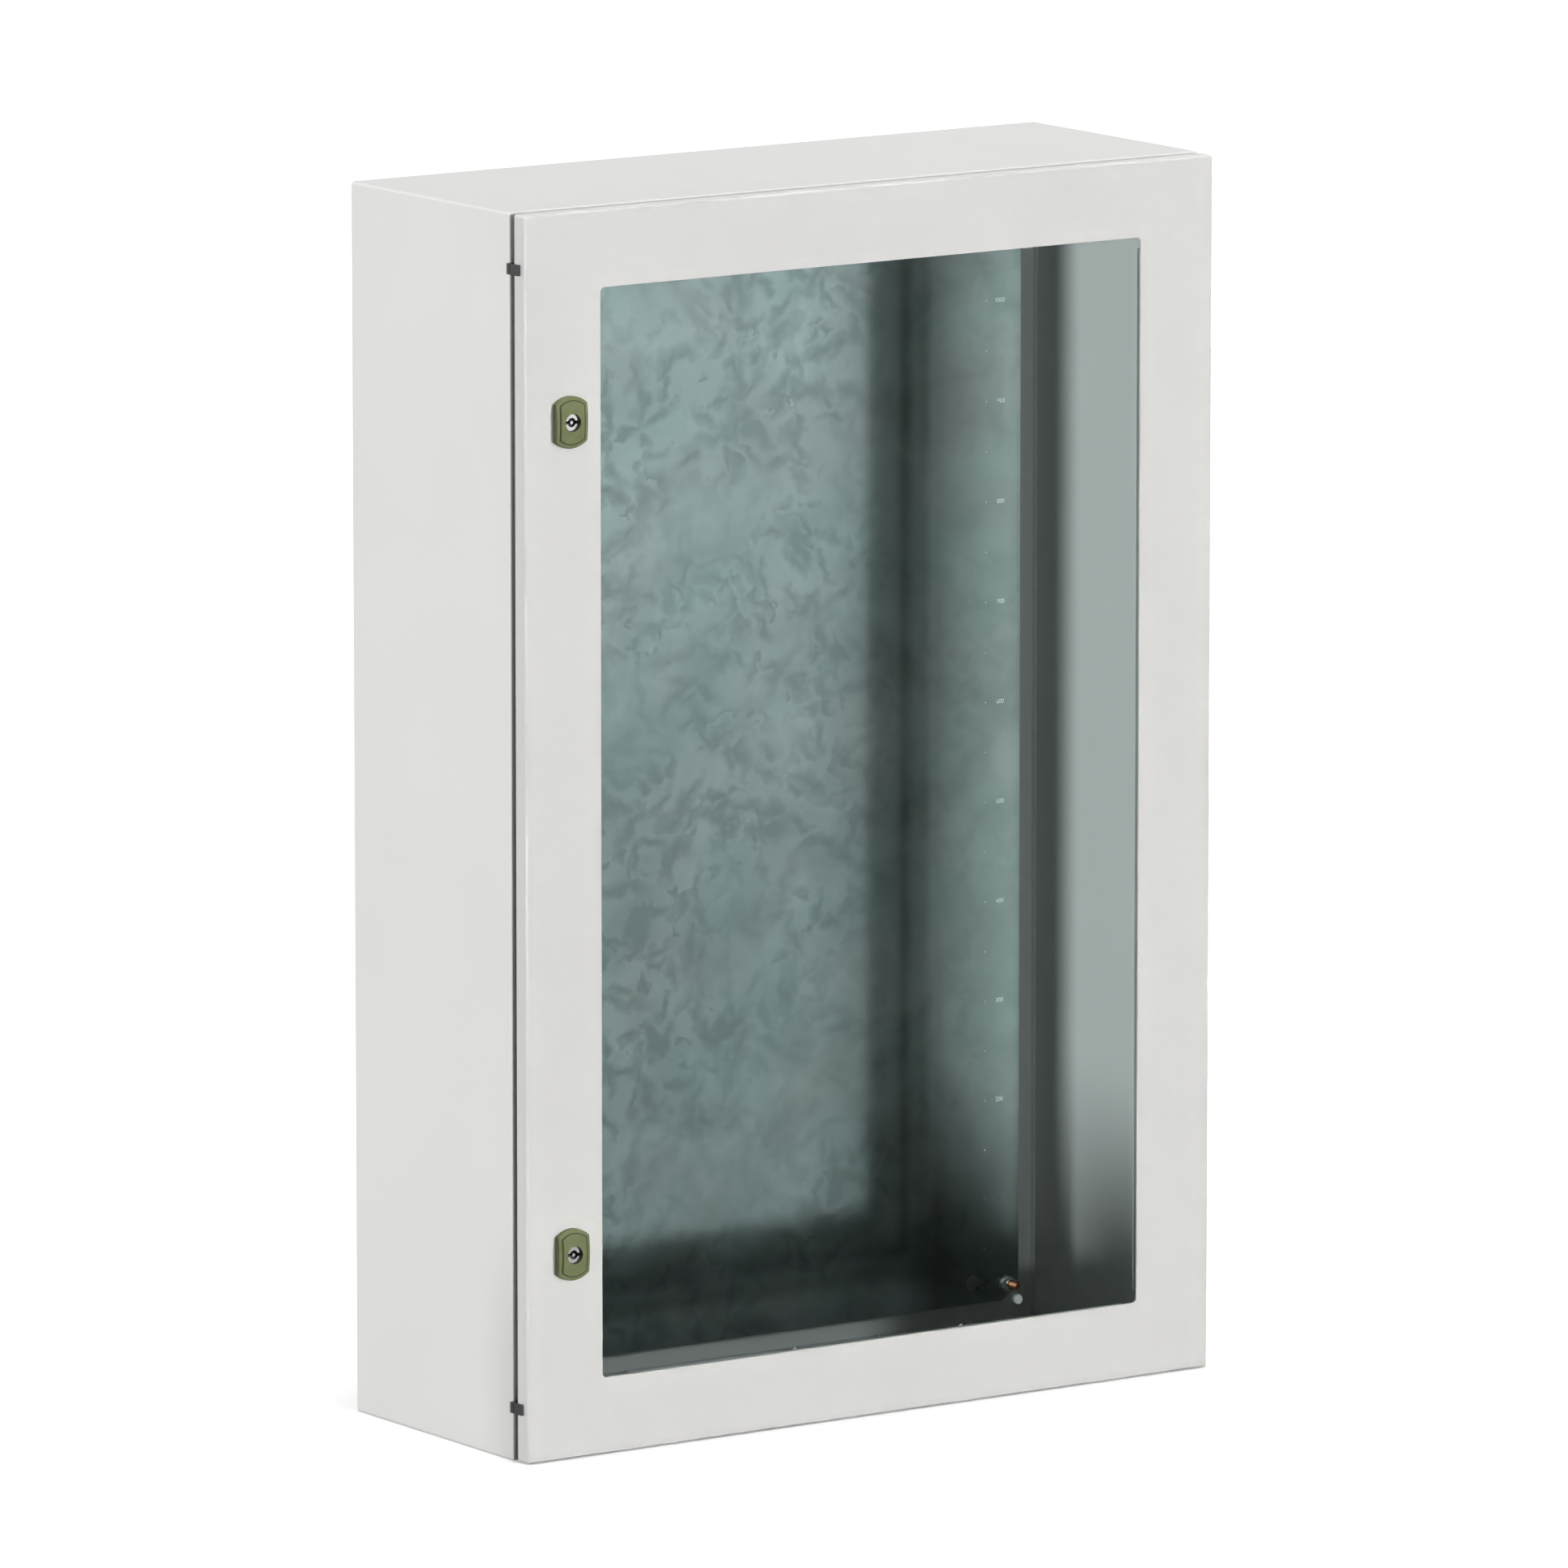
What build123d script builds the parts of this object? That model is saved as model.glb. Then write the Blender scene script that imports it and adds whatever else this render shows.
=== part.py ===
"""Wall-mounted electrical enclosure with a glazed door, in millimetres.

x runs to the right, y to the rear and z up. The origin is on the rear face, at the centre of the
wall-fixing pattern. Plane.XZ faces the front, so Plane.XZ.offset(d) lies d in front of the rear face.
"""

import os
from math import radians, sqrt, tan

from build123d import *

os.makedirs("parts", exist_ok=True)

# Overall size and sheet metal
enclosure_width = 800.0
enclosure_height = 1200.0
enclosure_depth = 300.0
body_sheet = 1.5
rear_sheet = 1.5
door_sheet = 1.5
bend_radius = 1.0
corner_radius = 3.0

# Body: front flange with its sealing lip, and rear flange
door_depth = 19.0
door_gap = 6.0
front_flange = 22.0
lip_corner_radius = 8.0
rear_flange_edge = 2.5

# Rear panel and wall fixings
rear_rim = 7.0
rear_panel_clearance = 0.2
corner_relief = 4.0
wall_fixing_inset = 20.0
bush_radius = 5.0
bush_shoulder_radius = 7.5
bush_projection = 4.5
bush_chamfer = 1.0
tapped_radius = 3.4
bush_end_wall = 1.5
seat_clearance = 0.1

# Mounting plate and what carries it
plate_margin_x = 30.0
plate_margin_z = 25.0
plate_thickness = 2.0
plate_standoff = 15.0
plate_clip_width = 20.0
plate_clip_height = 14.0
keyhole_inset_x = 55.0
keyhole_inset_z = 20.5
keyhole_radius = 8.25
keyhole_slot = 7.0
keyhole_reach = 18.0
stud_inset_x = 13.0
stud_inset_z = 16.0
stud_radius = 4.0
stud_length = 35.0
stud_hole_clearance = 0.5
spacer_radius = 7.0
washer_radius = 8.0
washer_thickness = 1.6
plate_nut_flats = 13.0
plate_nut_height = 6.5
nut_crown = 0.8
thread_clearance = 0.1

# Gland plates on the floor
gland_stud_pitch = 100.0
gland_studs_per_row = 3
gland_rear_row = 21.0
gland_front_inset = 40.0
gland_edge = 10.0
gland_ledge = 12.0
gland_seal_thickness = 1.0
gland_plate_thickness = 1.5
gland_stud_radius = 2.0
gland_stud_height = 6.6
gland_nut_flats = 7.0
gland_nut_height = 3.2

# Hinges, and the blanks in the same places on the lock side
door_opening_angle = 120.0
hinge_inset = 53.0
hinge_height = 10.5
hinge_proud = 2.8
hinge_tongue_edge = 1.2
hinge_tongue_clearance = 0.6
hinge_web = 1.4
hinge_plate_clearance = 0.65
hinge_plate_length = 4.5
knuckle_gap = 0.3
knuckle_clearance = 0.35
knuckle_split = 0.2
pin_radius = 1.5
pin_running_clearance = 0.05
pin_press_clearance = 0.02
hinge_screw_inset = 9.0
hinge_screw_radius = 2.0
hinge_screw_head_radius = 3.8
hinge_screw_length = 7.0
blank_front = 16.5
blank_groove_place = 2.3
blank_groove = 0.8
peg_radius = 2.0
peg_length = 4.0

# Door with its window
door_inset = 1.0
door_hem = 14.0
window_margin_z = 75.0
window_radius = 5.0
glass_thickness = 4.0
glass_overlap = 8.0
glass_seal_thickness = 2.0
glass_seal_setback = 1.5
gasket_width = 12.0
gasket_depth = 10.0
gasket_gap = 0.3

# Strips that hold the glass
strip_sheet = 1.5
strip_setback = 1.0
strip_glass_clearance = 0.5
strip_nut_edge = 0.7
strip_end_gap = 12.0
strip_stud_end = 53.0
strip_stud_radius = 2.0
strip_stud_length = 8.0
strip_nut_flats = 7.0
strip_nut_height = 3.2
side_strip_studs = 5
end_strip_studs = 3

# Locks
lock_gasket_clearance = 5.66
lock_strip_clearance = 1.4
lock_inset_z = 200.0
lock_head_radius = 25.0
lock_head_width = 35.0
lock_head_height = 8.6
lock_crown_rise = 2.6
lock_groove_inset = 3.5
lock_groove_width = 1.2
lock_groove_depth = 1.0
lock_edge_round = 0.6
lock_barrel_radius = 11.0
lock_barrel_flats = 20.0
lock_barrel_length = 18.0
lock_hole_clearance = 0.2
lock_seal_radius = 16.0
lock_seal_thickness = 1.5
lock_nut_flats = 27.0
lock_nut_height = 5.0
lock_mouth_radius = 8.5
insert_radius = 8.0
insert_recess = 3.0
insert_shoulder = 10.0
insert_running_clearance = 0.06
insert_bore_radius = 4.5
insert_bore_depth = 6.0
insert_slot = 3.2
insert_slot_depth = 4.0
key_pin_radius = 1.6
shaft_radius = 5.0
shaft_square = 7.0
square_clearance = 0.05
cam_thickness = 3.0
cam_width = 18.0
cam_overlap = 13.5
cam_clearance = 2.0
cam_screw_radius = 2.5
cam_screw_length = 10.0
cam_screw_flange_radius = 7.0
cam_screw_flange = 1.5
cam_screw_flats = 8.0
cam_screw_head = 3.5

# Earth studs
door_earth_inset_z = 130.0
door_earth_radius = 3.0
door_earth_length = 14.0
door_earth_nut_flats = 10.0
door_earth_nut_height = 5.0
body_earth_inset_z = 80.0
body_earth_setback = 35.0
body_earth_radius = 4.0
body_earth_length = 20.0
body_earth_nut_flats = 13.0
body_earth_nut_height = 6.5

# Depths in front of the rear face, and other derived places
across_corners = 2 / sqrt(3)
half_width = enclosure_width / 2
half_height = enclosure_height / 2
half_gap = door_gap / 2
body_depth = enclosure_depth - door_depth - door_gap
flange_rear = body_depth - body_sheet
door_inside = enclosure_depth - door_sheet
door_rear = enclosure_depth - door_depth
gasket_rear = door_inside - gasket_depth
lip_front = gasket_rear - gasket_gap
rear_panel_front = body_sheet + rear_sheet
plate_rear = rear_panel_front + plate_standoff
plate_front = plate_rear + plate_thickness
glass_front = door_inside - glass_seal_thickness
glass_rear = glass_front - glass_thickness
outer_bend = bend_radius + body_sheet
door_bend = bend_radius + door_sheet
lip_width = enclosure_width - 2 * front_flange
lip_height = enclosure_height - 2 * front_flange
door_width = enclosure_width - 2 * door_inset
door_height = enclosure_height - 2 * door_inset
plate_width = enclosure_width - 2 * plate_margin_x
plate_height = enclosure_height - 2 * plate_margin_z
stud_pitch_x = plate_width - 2 * stud_inset_x
stud_pitch_z = plate_height - 2 * stud_inset_z
fixing_pitch_x = enclosure_width - 2 * wall_fixing_inset
fixing_pitch_z = enclosure_height - 2 * wall_fixing_inset
rear_flange = wall_fixing_inset + bush_shoulder_radius + rear_flange_edge
hinge_places = {"upper": half_height - hinge_inset, "lower": hinge_inset - half_height}
pivot_depth = body_depth + half_gap
lip_line_inset = front_flange + body_sheet / 2
lock_nut_corner = lock_nut_flats * across_corners / 2
lock_inset_x = lip_line_inset + gasket_width / 2 + lock_gasket_clearance + lock_nut_corner
lock_x = lock_inset_x - half_width
lock_places = {"upper": half_height - lock_inset_z, "lower": lock_inset_z - half_height}
strip_riser = glass_overlap + strip_glass_clearance
strip_foot = strip_nut_flats * across_corners + 2 * strip_nut_edge
strip_outer = strip_riser + strip_sheet + strip_foot
window_margin_x = lock_inset_x + lock_nut_corner + lock_strip_clearance + strip_outer
window_width = enclosure_width - 2 * window_margin_x
window_height = enclosure_height - 2 * window_margin_z


def front_plane(x, depth, z):
    """Plane facing the front at a point, with its own x to the right and y up."""
    return Plane(origin=(x, -depth, z), x_dir=(1, 0, 0), z_dir=(0, -1, 0))


def rear_plane(x, depth, z):
    """Plane facing the rear at a point, with its own x to the left and y up."""
    return Plane(origin=(x, -depth, z), x_dir=(-1, 0, 0), z_dir=(0, 1, 0))


def save(piece, name):
    """Labels a finished piece and writes it to its own file."""
    piece.part.label = name
    export_step(piece.part, f"parts/{name}.step")


# Body shell: one folded sheet wrapped round the four sides, with the front flange and its lip
gland_centre = enclosure_width / 4
gland_front_row = body_depth - gland_front_inset
gland_y = -(gland_rear_row + gland_front_row) / 2
gland_openings = [(-gland_centre, gland_y), (gland_centre, gland_y)]
gland_row_length = (gland_studs_per_row - 1) * gland_stud_pitch
gland_row_pitch = gland_front_row - gland_rear_row
flange_hole_x = half_width - hinge_screw_inset

with BuildPart() as body_shell:
    with BuildSketch(Plane.XZ):
        RectangleRounded(enclosure_width, enclosure_height, corner_radius)
    extrude(amount=body_depth)
    fillet(body_shell.faces().filter_by(Axis.Y).edges(), outer_bend)
    with BuildSketch(Plane.XZ.offset(body_sheet)):
        RectangleRounded(
            enclosure_width - 2 * body_sheet,
            enclosure_height - 2 * body_sheet,
            corner_radius - body_sheet,
        )
    extrude(amount=flange_rear - body_sheet, mode=Mode.SUBTRACT)
    fillet(body_shell.faces().filter_by(Axis.Y).sort_by(Axis.Y)[1:3].edges(), bend_radius)
    with BuildSketch(Plane.XZ.offset(flange_rear)):
        RectangleRounded(lip_width, lip_height, lip_corner_radius)
    extrude(amount=lip_front - flange_rear)
    with BuildSketch(Plane.XZ.offset(flange_rear)):
        RectangleRounded(
            lip_width - 2 * body_sheet,
            lip_height - 2 * body_sheet,
            lip_corner_radius - body_sheet,
        )
    extrude(amount=lip_front - flange_rear, mode=Mode.SUBTRACT)
    flange_faces = body_shell.faces().filter_by(Axis.Y).sort_by(Axis.Y)[1:3]
    fillet(flange_faces[0].inner_wires()[0].edges(), bend_radius)
    flange_faces = body_shell.faces().filter_by(Axis.Y).sort_by(Axis.Y)[1:3]
    fillet(flange_faces[1].inner_wires()[0].edges(), outer_bend)
    with BuildSketch(Plane.XZ):
        RectangleRounded(
            enclosure_width - 2 * rear_flange,
            enclosure_height - 2 * rear_flange,
            lip_corner_radius,
        )
        with GridLocations(fixing_pitch_x, fixing_pitch_z, 2, 2):
            Circle(bush_shoulder_radius + seat_clearance)
    extrude(amount=body_sheet, mode=Mode.SUBTRACT)
    with BuildSketch(Plane.XY.offset(-half_height)):
        with Locations(*gland_openings):
            Rectangle(gland_row_length - 2 * gland_ledge, gland_row_pitch - 2 * gland_ledge)
    extrude(amount=body_sheet, mode=Mode.SUBTRACT)
    with BuildSketch(Plane.XZ.offset(flange_rear)):
        for hinge_z in hinge_places.values():
            with Locations((flange_hole_x, hinge_z), (-flange_hole_x, hinge_z)):
                Circle(hinge_screw_radius + thread_clearance)
    extrude(amount=body_sheet, mode=Mode.SUBTRACT)
save(body_shell, "body_shell")

# Rear panel: a shallow tray welded into the wrap, its rims bent forward and open at the corners
rear_panel_width = enclosure_width - 2 * (body_sheet + rear_panel_clearance)
rear_panel_height = enclosure_height - 2 * (body_sheet + rear_panel_clearance)

with BuildPart() as rear_panel:
    with BuildSketch(Plane.XZ.offset(body_sheet)):
        Rectangle(rear_panel_width, rear_panel_height)
    extrude(amount=rear_rim)
    fillet(rear_panel.faces().sort_by(Axis.Y)[-1].edges(), bend_radius + rear_sheet)
    with BuildSketch(Plane.XZ.offset(rear_panel_front)):
        Rectangle(rear_panel_width - 2 * rear_sheet, rear_panel_height - 2 * rear_sheet)
    extrude(amount=rear_rim - rear_sheet, mode=Mode.SUBTRACT)
    fillet(rear_panel.faces().filter_by(Axis.Y).sort_by(Axis.Y)[-2].edges(), bend_radius)
    with BuildSketch(Plane.XZ.offset(body_sheet)):
        with GridLocations(rear_panel_width - corner_relief, rear_panel_height - corner_relief, 2, 2):
            Rectangle(corner_relief, corner_relief)
        with GridLocations(fixing_pitch_x, fixing_pitch_z, 2, 2):
            Circle(bush_radius + seat_clearance)
    extrude(amount=rear_rim, mode=Mode.SUBTRACT)
save(rear_panel, "rear_panel")

# Wall-fixing bushes: closed threaded bushes, flush with the rear face
bush_length = rear_panel_front + bush_projection

with BuildPart() as wall_fixing_bushes:
    with BuildSketch(Plane.XZ):
        with GridLocations(fixing_pitch_x, fixing_pitch_z, 2, 2):
            Circle(bush_radius)
    extrude(amount=bush_length)
    chamfer(wall_fixing_bushes.faces().filter_by(Axis.Y).group_by(Axis.Y)[0].edges(), bush_chamfer)
    with BuildSketch(Plane.XZ):
        with GridLocations(fixing_pitch_x, fixing_pitch_z, 2, 2):
            Circle(bush_shoulder_radius)
    extrude(amount=body_sheet)
    with BuildSketch(Plane.XZ):
        with GridLocations(fixing_pitch_x, fixing_pitch_z, 2, 2):
            Circle(tapped_radius)
    extrude(amount=bush_length - bush_end_wall, mode=Mode.SUBTRACT)
save(wall_fixing_bushes, "wall_fixing_bushes")

# Mounting plate: flat galvanised sheet with clipped corners, a keyhole and a stud hole at each
plate_half_x = plate_width / 2
plate_half_z = plate_height / 2
keyhole_x = plate_half_x - keyhole_inset_x
keyhole_z = plate_half_z - keyhole_inset_z
keyhole_slot_run = keyhole_reach - keyhole_slot / 2

with BuildPart() as mounting_plate:
    with BuildSketch(Plane.XZ.offset(plate_rear)):
        with BuildLine():
            Polyline(
                (0, plate_half_z),
                (plate_half_x - plate_clip_width, plate_half_z),
                (plate_half_x, plate_half_z - plate_clip_height),
                (plate_half_x, 0),
            )
            mirror(about=Plane.XZ)
            mirror(about=Plane.YZ)
        make_face()
        with GridLocations(stud_pitch_x, stud_pitch_z, 2, 2):
            Circle(stud_radius + stud_hole_clearance, mode=Mode.SUBTRACT)
        with GridLocations(2 * keyhole_x, 2 * keyhole_z, 2, 2):
            Circle(keyhole_radius, mode=Mode.SUBTRACT)
        with GridLocations(2 * keyhole_x + keyhole_slot_run, 2 * keyhole_z, 2, 2):
            SlotCenterToCenter(keyhole_slot_run, keyhole_slot, mode=Mode.SUBTRACT)
    extrude(amount=plate_thickness)
save(mounting_plate, "mounting_plate")

# Plate fixings: a welded stud, a spacer, a washer and a nut at each corner
with BuildPart() as plate_studs:
    with BuildSketch(Plane.XZ.offset(rear_panel_front)):
        with GridLocations(stud_pitch_x, stud_pitch_z, 2, 2):
            Circle(stud_radius)
    extrude(amount=stud_length)
    chamfer(plate_studs.faces().filter_by(Axis.Y).group_by(Axis.Y)[0].edges(), nut_crown)
save(plate_studs, "plate_studs")

with BuildPart() as plate_spacers:
    with BuildSketch(Plane.XZ.offset(rear_panel_front)):
        with GridLocations(stud_pitch_x, stud_pitch_z, 2, 2):
            Circle(spacer_radius)
            Circle(stud_radius + thread_clearance, mode=Mode.SUBTRACT)
    extrude(amount=plate_standoff)
save(plate_spacers, "plate_spacers")

with BuildPart() as plate_washers:
    with BuildSketch(Plane.XZ.offset(plate_front)):
        with GridLocations(stud_pitch_x, stud_pitch_z, 2, 2):
            Circle(washer_radius)
            Circle(stud_radius + thread_clearance, mode=Mode.SUBTRACT)
    extrude(amount=washer_thickness)
save(plate_washers, "plate_washers")

with BuildPart() as plate_nuts:
    with BuildSketch(Plane.XZ.offset(plate_front + washer_thickness)):
        with GridLocations(stud_pitch_x, stud_pitch_z, 2, 2):
            RegularPolygon(plate_nut_flats / 2, 6, major_radius=False)
    extrude(amount=plate_nut_height)
    with BuildSketch(Plane.XZ.offset(plate_front + washer_thickness)):
        with GridLocations(stud_pitch_x, stud_pitch_z, 2, 2):
            Circle(plate_nut_flats / 2 + plate_nut_height)
    extrude(amount=plate_nut_height + nut_crown, taper=45, mode=Mode.INTERSECT)
    with BuildSketch(Plane.XZ.offset(plate_front + washer_thickness)):
        with GridLocations(stud_pitch_x, stud_pitch_z, 2, 2):
            Circle(stud_radius + thread_clearance)
    extrude(amount=plate_nut_height, mode=Mode.SUBTRACT)
save(plate_nuts, "plate_nuts")

# Gland plates: two blank plates bolted over the floor's openings, each on a flat seal
floor_inside = body_sheet - half_height
gland_seal_top = floor_inside + gland_seal_thickness
gland_plate_top = gland_seal_top + gland_plate_thickness
gland_length = gland_row_length + 2 * gland_edge
gland_width = gland_row_pitch + 2 * gland_edge
gland_hole_radius = gland_stud_radius + thread_clearance

for side, opening in zip(("left", "right"), gland_openings):
    with BuildPart() as gland_seal:
        with BuildSketch(Plane.XY.offset(floor_inside)):
            with Locations(opening):
                Rectangle(gland_length, gland_width)
                Rectangle(
                    gland_row_length - 2 * gland_ledge,
                    gland_row_pitch - 2 * gland_ledge,
                    mode=Mode.SUBTRACT,
                )
                with GridLocations(gland_stud_pitch, gland_row_pitch, gland_studs_per_row, 2):
                    Circle(gland_hole_radius, mode=Mode.SUBTRACT)
        extrude(amount=gland_seal_thickness)
    save(gland_seal, f"gland_seal_{side}")

    with BuildPart() as gland_plate:
        with BuildSketch(Plane.XY.offset(gland_seal_top)):
            with Locations(opening):
                Rectangle(gland_length, gland_width)
                with GridLocations(gland_stud_pitch, gland_row_pitch, gland_studs_per_row, 2):
                    Circle(gland_hole_radius, mode=Mode.SUBTRACT)
        extrude(amount=gland_plate_thickness)
    save(gland_plate, f"gland_plate_{side}")

with BuildPart() as gland_studs:
    with BuildSketch(Plane.XY.offset(floor_inside)):
        with Locations(*gland_openings):
            with GridLocations(gland_stud_pitch, gland_row_pitch, gland_studs_per_row, 2):
                Circle(gland_stud_radius)
    extrude(amount=gland_stud_height)
save(gland_studs, "gland_studs")

with BuildPart() as gland_nuts:
    with BuildSketch(Plane.XY.offset(gland_plate_top)):
        with Locations(*gland_openings):
            with GridLocations(gland_stud_pitch, gland_row_pitch, gland_studs_per_row, 2):
                RegularPolygon(gland_nut_flats / 2, 6, major_radius=False)
                Circle(gland_hole_radius, mode=Mode.SUBTRACT)
    extrude(amount=gland_nut_height)
save(gland_nuts, "gland_nuts")

# Hinges: a bracket on the body's flange, a leaf on the door's hem and a pin through both knuckles
knuckle_radius = half_gap - knuckle_gap
knuckle_room = knuckle_radius + knuckle_clearance
knuckle_height = (hinge_height - knuckle_split) / 2
tongue_thickness = half_gap - hinge_tongue_clearance
hinge_tongue = hinge_screw_inset + hinge_screw_head_radius + hinge_tongue_edge
hinge_plate_start = hinge_proud * tan(radians(door_opening_angle / 2)) + hinge_plate_clearance
hinge_plate_end = hinge_plate_start + hinge_plate_length
screw_sink = hinge_screw_head_radius - hinge_screw_radius
screw_hole = hinge_screw_radius + thread_clearance
screw_head_hole = hinge_screw_head_radius + thread_clearance

for place, hinge_z in hinge_places.items():
    bottom = hinge_z - hinge_height / 2
    pivot = Plane(origin=(half_width, -pivot_depth, bottom))
    upper_half = pivot.offset(hinge_height - knuckle_height)

    with BuildPart() as hinge_bracket:
        with BuildSketch(pivot):
            with Locations((-hinge_tongue, hinge_tongue_clearance)):
                Rectangle(hinge_tongue, tongue_thickness, align=Align.MIN)
            with Locations((-outer_bend, hinge_tongue_clearance)):
                Rectangle(outer_bend + hinge_web, hinge_plate_start, align=Align.MIN)
            with Locations((0, hinge_plate_start)):
                Rectangle(hinge_proud, hinge_plate_end - hinge_plate_start, align=Align.MIN)
            with Locations((-outer_bend, half_gap + outer_bend)):
                Circle(outer_bend, mode=Mode.SUBTRACT)
                Rectangle(outer_bend, hinge_plate_end, align=Align.MIN, mode=Mode.SUBTRACT)
            with Locations((-hinge_tongue, half_gap)):
                Rectangle(hinge_tongue - outer_bend, hinge_plate_end, align=Align.MIN, mode=Mode.SUBTRACT)
        extrude(amount=hinge_height)
        with BuildSketch(pivot):
            Circle(knuckle_room)
        extrude(amount=hinge_height, mode=Mode.SUBTRACT)
        with BuildSketch(pivot):
            Circle(knuckle_radius)
            with Locations((0, half_gap)):
                Rectangle(hinge_web, half_gap, align=(Align.MIN, Align.MAX))
            with Locations((-hinge_tongue / 2, half_gap)):
                Rectangle(hinge_tongue / 2, tongue_thickness, align=(Align.MIN, Align.MAX))
        extrude(amount=knuckle_height)
        with BuildSketch(pivot):
            Circle(pin_radius + pin_press_clearance)
        extrude(amount=hinge_height, mode=Mode.SUBTRACT)
        with Locations(front_plane(flange_hole_x, pivot_depth - hinge_tongue_clearance, hinge_z)):
            CounterSinkHole(screw_hole, screw_head_hole, counter_sink_angle=90)
    save(hinge_bracket, f"{place}_hinge_bracket")

    with BuildPart() as hinge_leaf:
        with BuildSketch(pivot):
            with Locations((-hinge_tongue, -hinge_tongue_clearance)):
                Rectangle(hinge_tongue - door_inset, tongue_thickness, align=(Align.MIN, Align.MAX))
            with Locations((-door_inset - door_bend, -hinge_tongue_clearance)):
                Rectangle(
                    door_inset + door_bend + hinge_web, hinge_plate_start, align=(Align.MIN, Align.MAX)
                )
            with Locations((-door_inset, -hinge_plate_start)):
                Rectangle(
                    door_inset + hinge_proud,
                    hinge_plate_end - hinge_plate_start,
                    align=(Align.MIN, Align.MAX),
                )
            with Locations((-door_inset - door_bend, -half_gap - door_bend)):
                Circle(door_bend, mode=Mode.SUBTRACT)
                Rectangle(door_bend, hinge_plate_end, align=(Align.MIN, Align.MAX), mode=Mode.SUBTRACT)
            with Locations((-hinge_tongue, -half_gap)):
                Rectangle(
                    hinge_tongue - door_inset - door_bend,
                    hinge_plate_end,
                    align=(Align.MIN, Align.MAX),
                    mode=Mode.SUBTRACT,
                )
        extrude(amount=hinge_height)
        with BuildSketch(pivot):
            Circle(knuckle_room)
        extrude(amount=hinge_height, mode=Mode.SUBTRACT)
        with BuildSketch(upper_half):
            Circle(knuckle_radius)
            with Locations((-door_inset, -half_gap)):
                Rectangle(door_inset + hinge_web, half_gap, align=Align.MIN)
            with Locations((-hinge_tongue / 2, -half_gap)):
                Rectangle(hinge_tongue / 2 - door_inset, tongue_thickness, align=Align.MIN)
        extrude(amount=knuckle_height)
        with BuildSketch(pivot):
            Circle(pin_radius + pin_running_clearance)
        extrude(amount=hinge_height, mode=Mode.SUBTRACT)
        with Locations(rear_plane(flange_hole_x, pivot_depth + hinge_tongue_clearance, hinge_z)):
            CounterSinkHole(screw_hole, screw_head_hole, counter_sink_angle=90)
    save(hinge_leaf, f"{place}_hinge_leaf")

    with BuildPart() as hinge_pin:
        with BuildSketch(pivot):
            Circle(pin_radius)
        extrude(amount=hinge_height)
    save(hinge_pin, f"{place}_hinge_pin")

    # Blank: a moulded cap whose peg sits in the flange hole where the bracket goes on the other side
    blank_pivot = Plane(origin=(-half_width, -pivot_depth, bottom))
    with BuildPart() as hinge_blank:
        with BuildSketch(blank_pivot):
            with Locations((0, hinge_tongue_clearance)):
                Rectangle(hinge_tongue, tongue_thickness, align=Align.MIN)
            with Locations((-hinge_proud, -blank_front)):
                Rectangle(hinge_proud, blank_front + half_gap, align=Align.MIN)
            with Locations((-hinge_proud, -blank_groove_place)):
                Rectangle(2 * blank_groove, blank_groove, mode=Mode.SUBTRACT)
        extrude(amount=hinge_height)
        with BuildSketch(rear_plane(-flange_hole_x, body_depth, hinge_z)):
            Circle(peg_radius)
        extrude(amount=peg_length)
    save(hinge_blank, f"{place}_hinge_blank")

with BuildPart() as hinge_bracket_screws:
    for hinge_z in hinge_places.values():
        with BuildSketch(rear_plane(flange_hole_x, pivot_depth - hinge_tongue_clearance, hinge_z)):
            Circle(hinge_screw_head_radius)
        extrude(amount=screw_sink, taper=45)
        with BuildSketch(rear_plane(flange_hole_x, pivot_depth - hinge_tongue_clearance, hinge_z)):
            Circle(hinge_screw_radius)
        extrude(amount=hinge_screw_length)
save(hinge_bracket_screws, "hinge_bracket_screws")

with BuildPart() as hinge_leaf_screws:
    for hinge_z in hinge_places.values():
        with BuildSketch(front_plane(flange_hole_x, pivot_depth + hinge_tongue_clearance, hinge_z)):
            Circle(hinge_screw_head_radius)
        extrude(amount=screw_sink, taper=45)
        with BuildSketch(front_plane(flange_hole_x, pivot_depth + hinge_tongue_clearance, hinge_z)):
            Circle(hinge_screw_radius)
        extrude(amount=hinge_screw_length)
save(hinge_leaf_screws, "hinge_leaf_screws")

# Body earth stud on the hinge-side wall, near the floor
body_earth_depth = body_depth - body_earth_setback
body_earth_plane = Plane(
    origin=(half_width - body_sheet, -body_earth_depth, body_earth_inset_z - half_height),
    x_dir=(0, 1, 0),
    z_dir=(-1, 0, 0),
)

with BuildPart() as body_earth_stud:
    with BuildSketch(body_earth_plane):
        Circle(body_earth_radius)
    extrude(amount=body_earth_length)
save(body_earth_stud, "body_earth_stud")

with BuildPart() as body_earth_nut:
    with BuildSketch(body_earth_plane):
        RegularPolygon(body_earth_nut_flats / 2, 6, major_radius=False)
        Circle(body_earth_radius + thread_clearance, mode=Mode.SUBTRACT)
    extrude(amount=body_earth_nut_height)
save(body_earth_nut, "body_earth_nut")

# Door shell: folded sheet with deep rims, a hem turned in behind them and the window cut-out
lock_hole_radius = lock_barrel_radius + lock_hole_clearance
lock_hole_flats = lock_barrel_flats + 2 * lock_hole_clearance

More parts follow.
